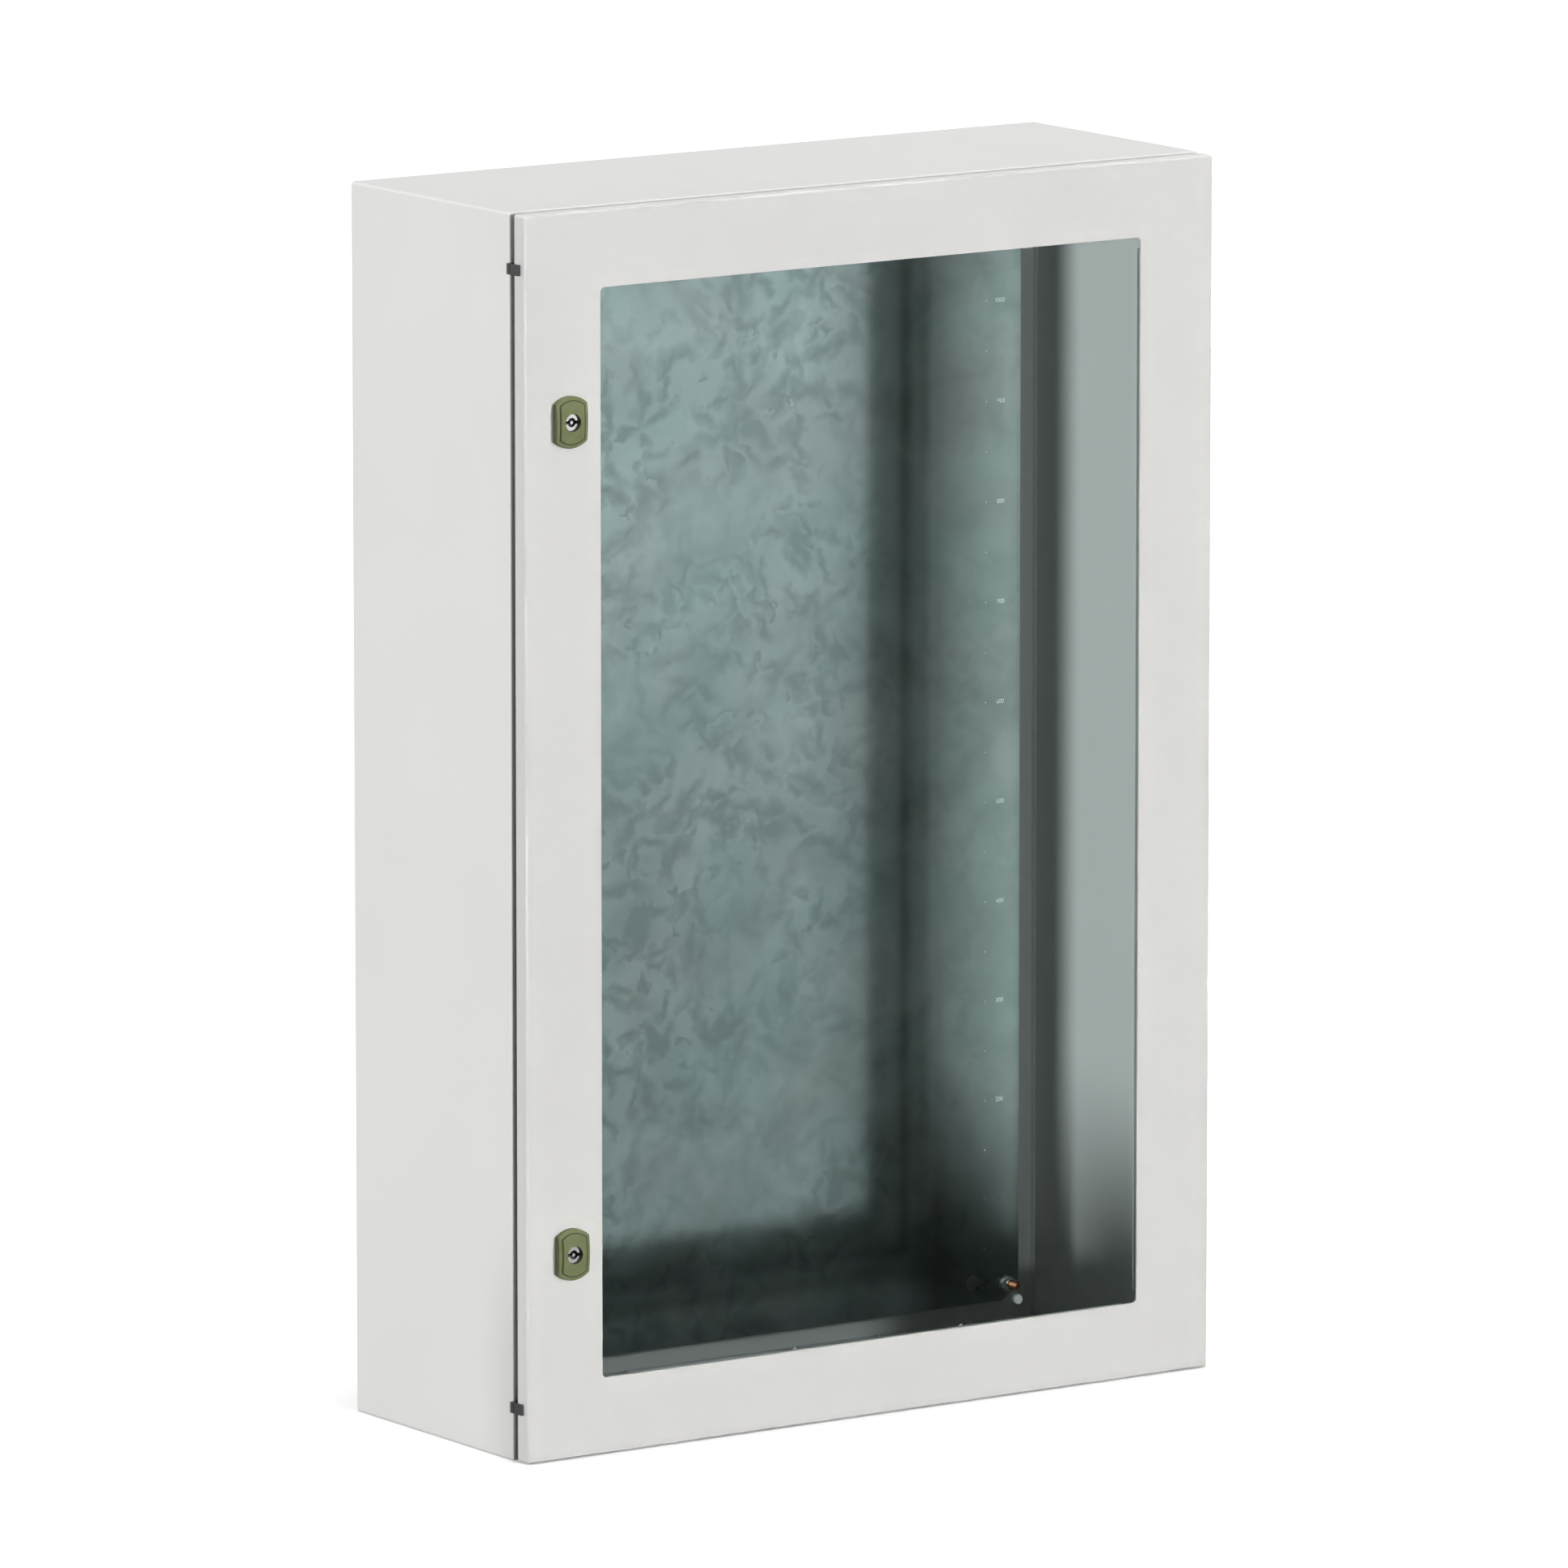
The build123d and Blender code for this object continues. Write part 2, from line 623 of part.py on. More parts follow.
with BuildPart() as door_shell:
    with BuildSketch(Plane.XZ.offset(door_rear)):
        RectangleRounded(door_width, door_height, corner_radius)
    extrude(amount=door_depth)
    fillet(door_shell.faces().filter_by(Axis.Y).edges(), door_bend)
    with BuildSketch(Plane.XZ.offset(door_rear + door_sheet)):
        RectangleRounded(
            door_width - 2 * door_sheet, door_height - 2 * door_sheet, corner_radius - door_sheet
        )
    extrude(amount=door_depth - 2 * door_sheet, mode=Mode.SUBTRACT)
    fillet(door_shell.faces().filter_by(Axis.Y).sort_by(Axis.Y)[1:3].edges(), bend_radius)
    with BuildSketch(Plane.XZ.offset(door_rear)):
        Rectangle(door_width - 2 * door_hem, door_height - 2 * door_hem)
        for hinge_z in hinge_places.values():
            with Locations((flange_hole_x, hinge_z)):
                Circle(hinge_screw_radius + thread_clearance)
    extrude(amount=door_sheet, mode=Mode.SUBTRACT)
    with BuildSketch(Plane.XZ.offset(door_inside)):
        RectangleRounded(window_width, window_height, window_radius)
    extrude(amount=door_sheet, mode=Mode.SUBTRACT)
    for lock_z in lock_places.values():
        with BuildSketch(front_plane(lock_x, door_inside, lock_z)):
            Circle(lock_hole_radius)
            Rectangle(lock_hole_flats, 2 * lock_hole_radius, mode=Mode.INTERSECT)
        extrude(amount=door_sheet, mode=Mode.SUBTRACT)
save(door_shell, "door_shell")

# Door gasket: foamed ring on the inside of the door, in line with the body's lip
lip_line_width = enclosure_width - 2 * lip_line_inset
lip_line_height = enclosure_height - 2 * lip_line_inset
gasket_corner = lip_corner_radius + gasket_width / 2

with BuildPart() as door_gasket:
    with BuildSketch(Plane.XZ.offset(gasket_rear)):
        RectangleRounded(lip_line_width + gasket_width, lip_line_height + gasket_width, gasket_corner)
        Rectangle(lip_line_width - gasket_width, lip_line_height - gasket_width, mode=Mode.SUBTRACT)
    extrude(amount=gasket_depth)
save(door_gasket, "door_gasket")

# Window glass on a flat seal behind the cut-out
glass_width = window_width + 2 * glass_overlap
glass_height = window_height + 2 * glass_overlap

with BuildPart() as glass_seal:
    with BuildSketch(Plane.XZ.offset(glass_front)):
        Rectangle(glass_width, glass_height)
        RectangleRounded(
            window_width + 2 * glass_seal_setback,
            window_height + 2 * glass_seal_setback,
            window_radius + glass_seal_setback,
            mode=Mode.SUBTRACT,
        )
    extrude(amount=glass_seal_thickness)
save(glass_seal, "glass_seal")

with BuildPart() as window_glass:
    with BuildSketch(Plane.XZ.offset(glass_rear)):
        RectangleRounded(glass_width, glass_height, window_radius)
    extrude(amount=glass_thickness)
save(window_glass, "window_glass")

# Glass retainers: a stepped strip along each side of the window, bolted to the door, bears on the glass
strip_section = [
    (strip_setback, glass_rear),
    (strip_riser, glass_rear),
    (strip_riser, door_inside),
    (strip_outer, door_inside),
    (strip_outer, door_inside - strip_sheet),
    (strip_riser + strip_sheet, door_inside - strip_sheet),
    (strip_riser + strip_sheet, glass_rear - strip_sheet),
    (strip_setback, glass_rear - strip_sheet),
]
strip_stud_line = strip_riser + strip_sheet + strip_foot / 2
strip_half_x = window_width / 2 - strip_end_gap
strip_half_z = window_height / 2 - strip_end_gap
side_strip_pitch = 2 * (strip_half_z - strip_stud_end) / (side_strip_studs - 1)
end_strip_pitch = 2 * (strip_half_x - strip_stud_end) / (end_strip_studs - 1)

for side, direction in (("left", -1), ("right", 1)):
    corners = [(direction * (window_width / 2 + out), -depth) for out, depth in strip_section]
    with BuildPart() as side_strip:
        with BuildSketch(Plane.XY.offset(-strip_half_z)):
            with BuildLine():
                Polyline(corners, close=True)
            make_face()
        extrude(amount=2 * strip_half_z)
        with BuildSketch(Plane.XZ.offset(door_inside - strip_sheet)):
            with Locations((direction * (window_width / 2 + strip_stud_line), 0)):
                with GridLocations(1, side_strip_pitch, 1, side_strip_studs):
                    Circle(strip_stud_radius + thread_clearance)
        extrude(amount=strip_sheet, mode=Mode.SUBTRACT)
    save(side_strip, f"glass_retainer_{side}")

for side, direction in (("bottom", -1), ("top", 1)):
    corners = [(-depth, direction * (window_height / 2 + out)) for out, depth in strip_section]
    with BuildPart() as end_strip:
        with BuildSketch(Plane.YZ.offset(-strip_half_x)):
            with BuildLine():
                Polyline(corners, close=True)
            make_face()
        extrude(amount=2 * strip_half_x)
        with BuildSketch(Plane.XZ.offset(door_inside - strip_sheet)):
            with Locations((0, direction * (window_height / 2 + strip_stud_line))):
                with GridLocations(end_strip_pitch, 1, end_strip_studs, 1):
                    Circle(strip_stud_radius + thread_clearance)
        extrude(amount=strip_sheet, mode=Mode.SUBTRACT)
    save(end_strip, f"glass_retainer_{side}")

strip_stud_width = window_width + 2 * strip_stud_line
strip_stud_height = window_height + 2 * strip_stud_line
side_stud_places = GridLocations(strip_stud_width, side_strip_pitch, 2, side_strip_studs)
end_stud_places = GridLocations(end_strip_pitch, strip_stud_height, end_strip_studs, 2)

with BuildPart() as retainer_studs:
    with BuildSketch(Plane.XZ.offset(door_inside)):
        for stud_places in (side_stud_places, end_stud_places):
            with stud_places:
                Circle(strip_stud_radius)
    extrude(amount=-strip_stud_length)
save(retainer_studs, "retainer_studs")

with BuildPart() as retainer_nuts:
    with BuildSketch(Plane.XZ.offset(door_inside - strip_sheet)):
        for stud_places in (side_stud_places, end_stud_places):
            with stud_places:
                RegularPolygon(strip_nut_flats / 2, 6, major_radius=False)
                Circle(strip_stud_radius + thread_clearance, mode=Mode.SUBTRACT)
    extrude(amount=-strip_nut_height)
save(retainer_nuts, "retainer_nuts")

# Door earth stud on the hinge side, below the window's middle
door_earth_x = -lock_x
door_earth_z = door_earth_inset_z - half_height

with BuildPart() as door_earth_stud:
    with BuildSketch(rear_plane(door_earth_x, door_inside, door_earth_z)):
        Circle(door_earth_radius)
    extrude(amount=door_earth_length)
save(door_earth_stud, "door_earth_stud")

with BuildPart() as door_earth_nut:
    with BuildSketch(rear_plane(door_earth_x, door_inside, door_earth_z)):
        RegularPolygon(door_earth_nut_flats / 2, 6, major_radius=False)
        Circle(door_earth_radius + thread_clearance, mode=Mode.SUBTRACT)
    extrude(amount=door_earth_nut_height)
save(door_earth_nut, "door_earth_nut")

# Locks: moulded housing, seal and nut in the door; turning insert, cam and screw. Unlocked, the cam hangs
lock_front = enclosure_depth + lock_head_height
insert_front = lock_front - insert_recess
shoulder_depth = enclosure_depth - insert_shoulder
barrel_rear = enclosure_depth - lock_barrel_length
cam_front = flange_rear - cam_clearance
cam_rear = cam_front - cam_thickness
cam_reach = lip_width / 2 - body_sheet + lock_x + cam_overlap
crown_radius = (lock_head_radius**2 + lock_crown_rise**2) / (2 * lock_crown_rise)
groove_radius = lock_head_radius - lock_groove_inset
groove_flats = lock_head_width - 2 * lock_groove_inset

for place, lock_z in lock_places.items():
    crown_plane = Plane(
        origin=(lock_x, crown_radius - lock_front, lock_z), x_dir=(0, 1, 0), z_dir=(1, 0, 0)
    )
    with BuildPart() as lock_housing:
        with BuildSketch(front_plane(lock_x, enclosure_depth, lock_z)) as head_outline:
            Circle(lock_head_radius)
            Rectangle(lock_head_width, 2 * lock_head_radius, mode=Mode.INTERSECT)
        extrude(amount=lock_head_height)
        with BuildSketch(crown_plane):
            Circle(crown_radius - lock_groove_depth)
        extrude(amount=lock_head_width, both=True, mode=Mode.INTERSECT)
        with BuildSketch(front_plane(lock_x, enclosure_depth, lock_z)):
            Circle(groove_radius - lock_groove_width)
            Rectangle(groove_flats - 2 * lock_groove_width, 2 * lock_head_radius, mode=Mode.INTERSECT)
        extrude(amount=lock_head_height)
        with BuildSketch(front_plane(lock_x, enclosure_depth, lock_z)) as groove_outline:
            Circle(groove_radius)
            Rectangle(groove_flats, 2 * groove_radius, mode=Mode.INTERSECT)
        with BuildSketch(front_plane(lock_x, enclosure_depth, lock_z)):
            add(head_outline.sketch)
            add(groove_outline.sketch, mode=Mode.SUBTRACT)
        extrude(amount=lock_head_height)
        with BuildSketch(crown_plane):
            Circle(crown_radius)
        extrude(amount=lock_head_width, both=True, mode=Mode.INTERSECT)
        rims = lock_housing.faces().filter_by(lambda face: len(face.inner_wires()) == 1)
        fillet(rims.sort_by(Axis.Y)[0].outer_wire().edges(), lock_edge_round)
        with BuildSketch(front_plane(lock_x, enclosure_depth, lock_z)):
            Circle(lock_seal_radius + seat_clearance)
        extrude(amount=lock_seal_thickness, mode=Mode.SUBTRACT)
        with BuildSketch(front_plane(lock_x, barrel_rear, lock_z)):
            Circle(lock_barrel_radius)
            Rectangle(lock_barrel_flats, 2 * lock_barrel_radius, mode=Mode.INTERSECT)
        extrude(amount=lock_barrel_length + lock_seal_thickness)
        with BuildSketch(front_plane(lock_x, insert_front, lock_z)):
            Circle(lock_mouth_radius)
        extrude(amount=insert_recess, mode=Mode.SUBTRACT)
        with BuildSketch(front_plane(lock_x, shoulder_depth, lock_z)):
            Circle(insert_radius + insert_running_clearance)
        extrude(amount=insert_front - shoulder_depth, mode=Mode.SUBTRACT)
        with BuildSketch(front_plane(lock_x, barrel_rear, lock_z)):
            Circle(shaft_radius + insert_running_clearance)
        extrude(amount=shoulder_depth - barrel_rear, mode=Mode.SUBTRACT)
    save(lock_housing, f"{place}_lock_housing")

    with BuildPart() as lock_seal:
        with BuildSketch(front_plane(lock_x, enclosure_depth, lock_z)):
            Circle(lock_seal_radius)
            Circle(lock_barrel_radius + seat_clearance, mode=Mode.SUBTRACT)
        extrude(amount=lock_seal_thickness)
    save(lock_seal, f"{place}_lock_seal")

    with BuildPart() as lock_nut:
        with BuildSketch(rear_plane(lock_x, door_inside, lock_z)):
            RegularPolygon(lock_nut_flats / 2, 6, major_radius=False)
            Circle(lock_barrel_radius + thread_clearance, mode=Mode.SUBTRACT)
        extrude(amount=lock_nut_height)
    save(lock_nut, f"{place}_lock_nut")

    with BuildPart() as lock_insert:
        with BuildSketch(front_plane(lock_x, shoulder_depth + seat_clearance, lock_z)):
            Circle(insert_radius)
        extrude(amount=insert_front - shoulder_depth - seat_clearance)
        with BuildSketch(front_plane(lock_x, cam_front, lock_z)):
            Circle(shaft_radius)
        extrude(amount=shoulder_depth + seat_clearance - cam_front)
        with BuildSketch(front_plane(lock_x, cam_rear, lock_z)):
            Rectangle(shaft_square, shaft_square)
        extrude(amount=cam_thickness)
        with BuildSketch(front_plane(lock_x, insert_front, lock_z)):
            Circle(insert_bore_radius)
            Circle(key_pin_radius, mode=Mode.SUBTRACT)
        extrude(amount=-insert_bore_depth, mode=Mode.SUBTRACT)
        with BuildSketch(front_plane(lock_x, insert_front, lock_z)):
            Rectangle(2 * insert_radius, insert_slot)
            Circle(key_pin_radius, mode=Mode.SUBTRACT)
        extrude(amount=-insert_slot_depth, mode=Mode.SUBTRACT)
        with BuildSketch(front_plane(lock_x, cam_rear, lock_z)):
            Circle(cam_screw_radius + thread_clearance)
        extrude(amount=cam_screw_length, mode=Mode.SUBTRACT)
    save(lock_insert, f"{place}_lock_insert")

    with BuildPart() as lock_cam:
        with BuildSketch(front_plane(lock_x, cam_rear, lock_z)):
            with Locations((0, (cam_width / 2 - cam_reach) / 2)):
                SlotOverall(cam_reach + cam_width / 2, cam_width, rotation=90)
            Rectangle(
                shaft_square + 2 * square_clearance, shaft_square + 2 * square_clearance, mode=Mode.SUBTRACT
            )
        extrude(amount=cam_thickness)
    save(lock_cam, f"{place}_lock_cam")

    with BuildPart() as cam_screw:
        with BuildSketch(rear_plane(lock_x, cam_rear, lock_z)):
            Circle(cam_screw_flange_radius)
        extrude(amount=cam_screw_flange)
        with BuildSketch(rear_plane(lock_x, cam_rear - cam_screw_flange, lock_z)):
            RegularPolygon(cam_screw_flats / 2, 6, major_radius=False)
        extrude(amount=cam_screw_head)
        with BuildSketch(front_plane(lock_x, cam_rear, lock_z)):
            Circle(cam_screw_radius)
        extrude(amount=cam_screw_length)
    save(cam_screw, f"{place}_cam_screw")
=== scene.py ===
"""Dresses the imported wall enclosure: powder coat, galvanised plate, glass, seals, fixings and locks.

Metres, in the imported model's own frame: x to the right, y to the rear, z up.
"""

import math

import bmesh
import bpy
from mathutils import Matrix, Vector


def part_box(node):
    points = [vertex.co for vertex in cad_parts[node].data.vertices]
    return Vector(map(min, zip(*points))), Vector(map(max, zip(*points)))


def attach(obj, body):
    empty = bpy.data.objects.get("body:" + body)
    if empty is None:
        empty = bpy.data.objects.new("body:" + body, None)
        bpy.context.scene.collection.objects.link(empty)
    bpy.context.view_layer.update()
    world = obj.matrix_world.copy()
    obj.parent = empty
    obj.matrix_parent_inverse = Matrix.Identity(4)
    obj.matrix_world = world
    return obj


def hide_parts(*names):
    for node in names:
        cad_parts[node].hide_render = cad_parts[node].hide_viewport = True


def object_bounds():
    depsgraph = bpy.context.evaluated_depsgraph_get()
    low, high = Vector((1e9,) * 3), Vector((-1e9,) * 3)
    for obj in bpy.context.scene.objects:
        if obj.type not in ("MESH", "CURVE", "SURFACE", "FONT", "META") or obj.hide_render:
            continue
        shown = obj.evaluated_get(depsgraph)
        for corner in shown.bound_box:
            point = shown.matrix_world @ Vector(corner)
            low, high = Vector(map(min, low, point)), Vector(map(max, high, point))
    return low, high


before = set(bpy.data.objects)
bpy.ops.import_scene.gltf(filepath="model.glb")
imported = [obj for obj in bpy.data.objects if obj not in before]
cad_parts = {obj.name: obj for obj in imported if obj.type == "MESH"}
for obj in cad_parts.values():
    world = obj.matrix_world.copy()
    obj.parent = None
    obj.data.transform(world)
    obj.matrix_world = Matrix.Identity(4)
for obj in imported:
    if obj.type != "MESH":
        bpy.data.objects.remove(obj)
cad_low, cad_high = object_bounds()


# Body shell, rear panel and gland plates
# Folded mild steel sheet, welded, degreased and powder coated light grey as one piece. The gland plates
# get the same coat and are bolted on afterwards.
def new_finish(name):
    """A node material with its shader and the piece's own coordinates."""
    finish = bpy.data.materials.new(name)
    finish.use_nodes = True
    tree = finish.node_tree
    shader = tree.nodes["Principled BSDF"]
    place = tree.nodes.new("ShaderNodeTexCoord").outputs["Object"]
    return finish, tree, shader, place


def noise(tree, place, scale, detail=2.0, distortion=0.0):
    """Cloudy pattern, about 1 / scale metres across."""
    node = tree.nodes.new("ShaderNodeTexNoise")
    node.inputs["Scale"].default_value = scale
    node.inputs["Detail"].default_value = detail
    node.inputs["Distortion"].default_value = distortion
    tree.links.new(place, node.inputs["Vector"])
    return node.outputs[0]


def spread(tree, value, low, high, start=0.3, end=0.7):
    """Turns a pattern between start and end into numbers from low to high."""
    node = tree.nodes.new("ShaderNodeMapRange")
    node.inputs["From Min"].default_value = start
    node.inputs["From Max"].default_value = end
    node.inputs["To Min"].default_value = low
    node.inputs["To Max"].default_value = high
    tree.links.new(value, node.inputs["Value"])
    return node.outputs["Result"]


def tones(tree, value, dark, light, start=0.3, end=0.7):
    """Turns a pattern into colours between two tones."""
    node = tree.nodes.new("ShaderNodeValToRGB")
    node.color_ramp.elements[0].position = start
    node.color_ramp.elements[1].position = end
    node.color_ramp.elements[0].color = (*dark, 1)
    node.color_ramp.elements[1].color = (*light, 1)
    tree.links.new(value, node.inputs["Fac"])
    return node.outputs["Color"]


def relief(tree, height, depth, strength, shader):
    """Presses a pattern of the given depth into the surface."""
    node = tree.nodes.new("ShaderNodeBump")
    node.inputs["Distance"].default_value = depth
    node.inputs["Strength"].default_value = strength
    tree.links.new(height, node.inputs["Height"])
    tree.links.new(node.outputs["Normal"], shader.inputs["Normal"])


def shade(colour, share):
    """The same colour, lighter or darker."""
    return tuple(channel * share for channel in colour)


def dress(finish, *names):
    """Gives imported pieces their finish."""
    for name in names:
        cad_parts[name].data.materials[0] = finish


def powder_coat(name, colour):
    """Baked powder: even colour, satin gloss and a fine orange peel."""
    finish, tree, shader, place = new_finish(name)
    drift = noise(tree, place, 5.0)
    peel = noise(tree, place, 620.0, detail=3.0)
    batch = tones(tree, drift, shade(colour, 0.985), shade(colour, 1.012))
    tree.links.new(batch, shader.inputs["Base Color"])
    tree.links.new(spread(tree, peel, 0.4, 0.5), shader.inputs["Roughness"])
    shader.inputs["Specular IOR Level"].default_value = 0.3
    relief(tree, peel, 0.00012, 0.35, shader)
    return finish


light_grey = (0.735, 0.735, 0.718)
body_coat = powder_coat("body_powder_coat", light_grey)
dress(body_coat, "body_shell", "rear_panel", "gland_plate_left", "gland_plate_right")


# Wall-fixing bushes, spacers and washers
# Turned steel. The bushes are welded into the corners of the back and zinc sprayed, dull and pale. The
# spacers and washers are bright plated and slip over the plate's studs.
def plated(name, colour, low_gloss, high_gloss):
    """Thin plating: metal with a cloudy tone and faint drawing marks."""
    finish, tree, shader, place = new_finish(name)
    cloud = noise(tree, place, 180.0, detail=4.0)
    grain = noise(tree, place, 2600.0)
    coat = tones(tree, cloud, shade(colour, 0.82), shade(colour, 1.08))
    tree.links.new(coat, shader.inputs["Base Color"])
    tree.links.new(spread(tree, cloud, low_gloss, high_gloss), shader.inputs["Roughness"])
    shader.inputs["Metallic"].default_value = 1.0
    relief(tree, grain, 0.00003, 0.3, shader)
    return finish


zinc = plated("bright_zinc", (0.72, 0.73, 0.72), 0.14, 0.26)
dull_zinc = powder_coat("dull_zinc", (0.6, 0.6, 0.585))
dress(dull_zinc, "wall_fixing_bushes")
dress(zinc, "plate_spacers", "plate_washers")


# Plate studs
# Copper-plated weld studs with rolled threads, one at each corner of the back. They are shot on to the rear
# panel and carry the equipment plate.
def loft(name, rings, open_middle=False):
    """Joins rings of points into a closed skin, capped at both ends or run back to the first ring."""
    mesh = bpy.data.meshes.new(name)
    form = bmesh.new()
    loops = [[form.verts.new(point) for point in ring] for ring in rings]
    pairs = list(zip(loops, loops[1:]))
    if open_middle:
        pairs.append((loops[-1], loops[0]))
    else:
        form.faces.new(loops[0])
        form.faces.new(loops[-1])
    for near, far in pairs:
        for step in range(len(near)):
            after = (step + 1) % len(near)
            form.faces.new((near[step], near[after], far[after], far[step]))
    bmesh.ops.recalc_face_normals(form, faces=form.faces)
    form.to_mesh(mesh)
    form.free()
    return mesh


def ring_of(radius_at, height, segments):
    """One ring of points whose radius may change with the angle."""
    turns = [math.tau * step / segments for step in range(segments)]
    return [Vector((radius_at(t) * math.cos(t), radius_at(t) * math.sin(t), height)) for t in turns]


def threaded_rod(name, radius, pitch, length, segments):
    """Rod along z with a rolled thread and a chamfered free end."""
    depth = 0.6 * pitch
    rows = round(4 * length / pitch)
    rings = []
    for row in range(rows + 1):
        height = length * row / rows
        cone = radius - depth - 0.2 * pitch + (length - height)

        def radius_at(turn, height=height, cone=cone):
            wave = abs(((height / pitch - turn / math.tau) % 1) * 2 - 1)
            return min(radius - depth * wave, cone)

        rings.append(ring_of(radius_at, height, segments))
    return loft(name, rings)


def fixing_tree():
    """Node tree that sets one part on every point of a piece, turned to its axis, each at its own angle."""
    tree = bpy.data.node_groups.new("fixings_on_points", "GeometryNodeTree")
    face = tree.interface
    for label, kind in (
        ("Geometry", "NodeSocketGeometry"),
        ("Part", "NodeSocketObject"),
        ("Axis Turn", "NodeSocketVector"),
        ("Angle Spread", "NodeSocketFloat"),
        ("Seed", "NodeSocketInt"),
        ("Finish", "NodeSocketMaterial"),
    ):
        face.new_socket(label, in_out="INPUT", socket_type=kind)
    face.new_socket("Geometry", in_out="OUTPUT", socket_type="NodeSocketGeometry")
    add = tree.nodes.new
    link = tree.links.new
    given = add("NodeGroupInput").outputs
    part = add("GeometryNodeObjectInfo")
    chance = add("FunctionNodeRandomValue")
    around = add("FunctionNodeAxisAngleToRotation")
    axis = add("FunctionNodeEulerToRotation")
    turn = add("FunctionNodeRotateRotation")
    turn.rotation_space = "LOCAL"
    around.inputs["Axis"].default_value = (0, 0, 1)
    set_on = add("GeometryNodeInstanceOnPoints")
    whole = add("GeometryNodeRealizeInstances")
    coat = add("GeometryNodeSetMaterial")
    link(given["Part"], part.inputs["Object"])
    link(given["Angle Spread"], chance.inputs[3])
    link(given["Seed"], chance.inputs["Seed"])
    link(chance.outputs[1], around.inputs["Angle"])
    link(given["Axis Turn"], axis.inputs[0])
    link(axis.outputs[0], turn.inputs[0])
    link(around.outputs[0], turn.inputs[1])
    link(given["Geometry"], set_on.inputs["Points"])
    link(part.outputs["Geometry"], set_on.inputs["Instance"])
    link(turn.outputs[0], set_on.inputs["Rotation"])
    link(set_on.outputs["Instances"], whole.inputs["Geometry"])
    link(whole.outputs["Geometry"], coat.inputs["Geometry"])
    link(given["Finish"], coat.inputs["Material"])
    link(coat.outputs["Geometry"], add("NodeGroupOutput").inputs["Geometry"])
    return tree


def run_nodes(piece, tree, values):
    """Runs a node tree on a piece with the named inputs, and keeps the result as a plain mesh."""
    step = piece.modifiers.new("make", "NODES")
    step.node_group = tree
    for item in tree.interface.items_tree:
        if item.in_out == "INPUT" and item.name in values:
            step[item.identifier] = values[item.name]
    bpy.context.view_layer.update()
    made = piece.evaluated_get(bpy.context.evaluated_depsgraph_get())
    mesh = bpy.data.meshes.new_from_object(made)
    piece.modifiers.remove(step)
    piece.data = mesh


def new_piece(name, mesh):
    """Puts a mesh into the scene under a piece's name."""
    piece = bpy.data.objects.new(name, mesh)
    bpy.context.scene.collection.objects.link(piece)
    return piece


fixings_on_points = fixing_tree()
to_front = (math.pi / 2, 0, 0)
to_rear = (-math.pi / 2, 0, 0)
upward = (0, 0, 0)
to_left = (0, -math.pi / 2, 0)


def set_fixings(name, part_mesh, points, axis_turn, finish, body, node, seed, angle_spread=math.pi):
    """Copies one fixing to every point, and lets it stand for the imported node."""
    points_mesh = bpy.data.meshes.new(name)
    points_mesh.from_pydata(points, [], [])
    piece = new_piece(name, points_mesh)
    part = new_piece(name + "_part", part_mesh)
    values = {
        "Part": part,
        "Axis Turn": axis_turn,
        "Angle Spread": angle_spread,
        "Seed": seed,
        "Finish": finish,
    }
    run_nodes(piece, fixings_on_points, values)
    bpy.data.objects.remove(part)
    piece.data.set_sharp_from_angle(angle=math.radians(28))
    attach(piece, body)
    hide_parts(node)
    return piece


def corners_of(node, inset, y):
    """The four places of a corner pattern, read from a node's box."""
    low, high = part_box(node)
    sides = ((low.x + inset, high.x - inset), (low.z + inset, high.z - inset))
    return [(x, y, z) for x in sides[0] for z in sides[1]]


copper = plated("copper_plating", (0.68, 0.29, 0.16), 0.16, 0.28)
m8_radius = 0.004
m8_pitch = 0.00125
stud_low, stud_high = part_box("plate_studs")
plate_stud_length = stud_high.y - stud_low.y
set_fixings(
    "plate_stud_threads",
    threaded_rod("plate_stud_thread", m8_radius, m8_pitch, plate_stud_length, 22),
    corners_of("plate_studs", m8_radius, stud_high.y),
    to_front,
    copper,
    "body",
    "plate_studs",
    seed=3,
)


# Equipment plate with its printed scale
# Hot-dip galvanised steel sheet, sheared and punched, left unpainted. The zinc has frozen in soft creases,
# and a height scale is printed white up its right edge.
def work_out(tree, operation, *sides):
    """One step of arithmetic; each side is a number or another node's output."""
    node = tree.nodes.new("ShaderNodeMath")
    node.operation = operation
    for socket, side in zip(node.inputs, sides):
        if isinstance(side, (int, float)):
            socket.default_value = side
        else:
            tree.links.new(side, socket)
    return node.outputs[0]


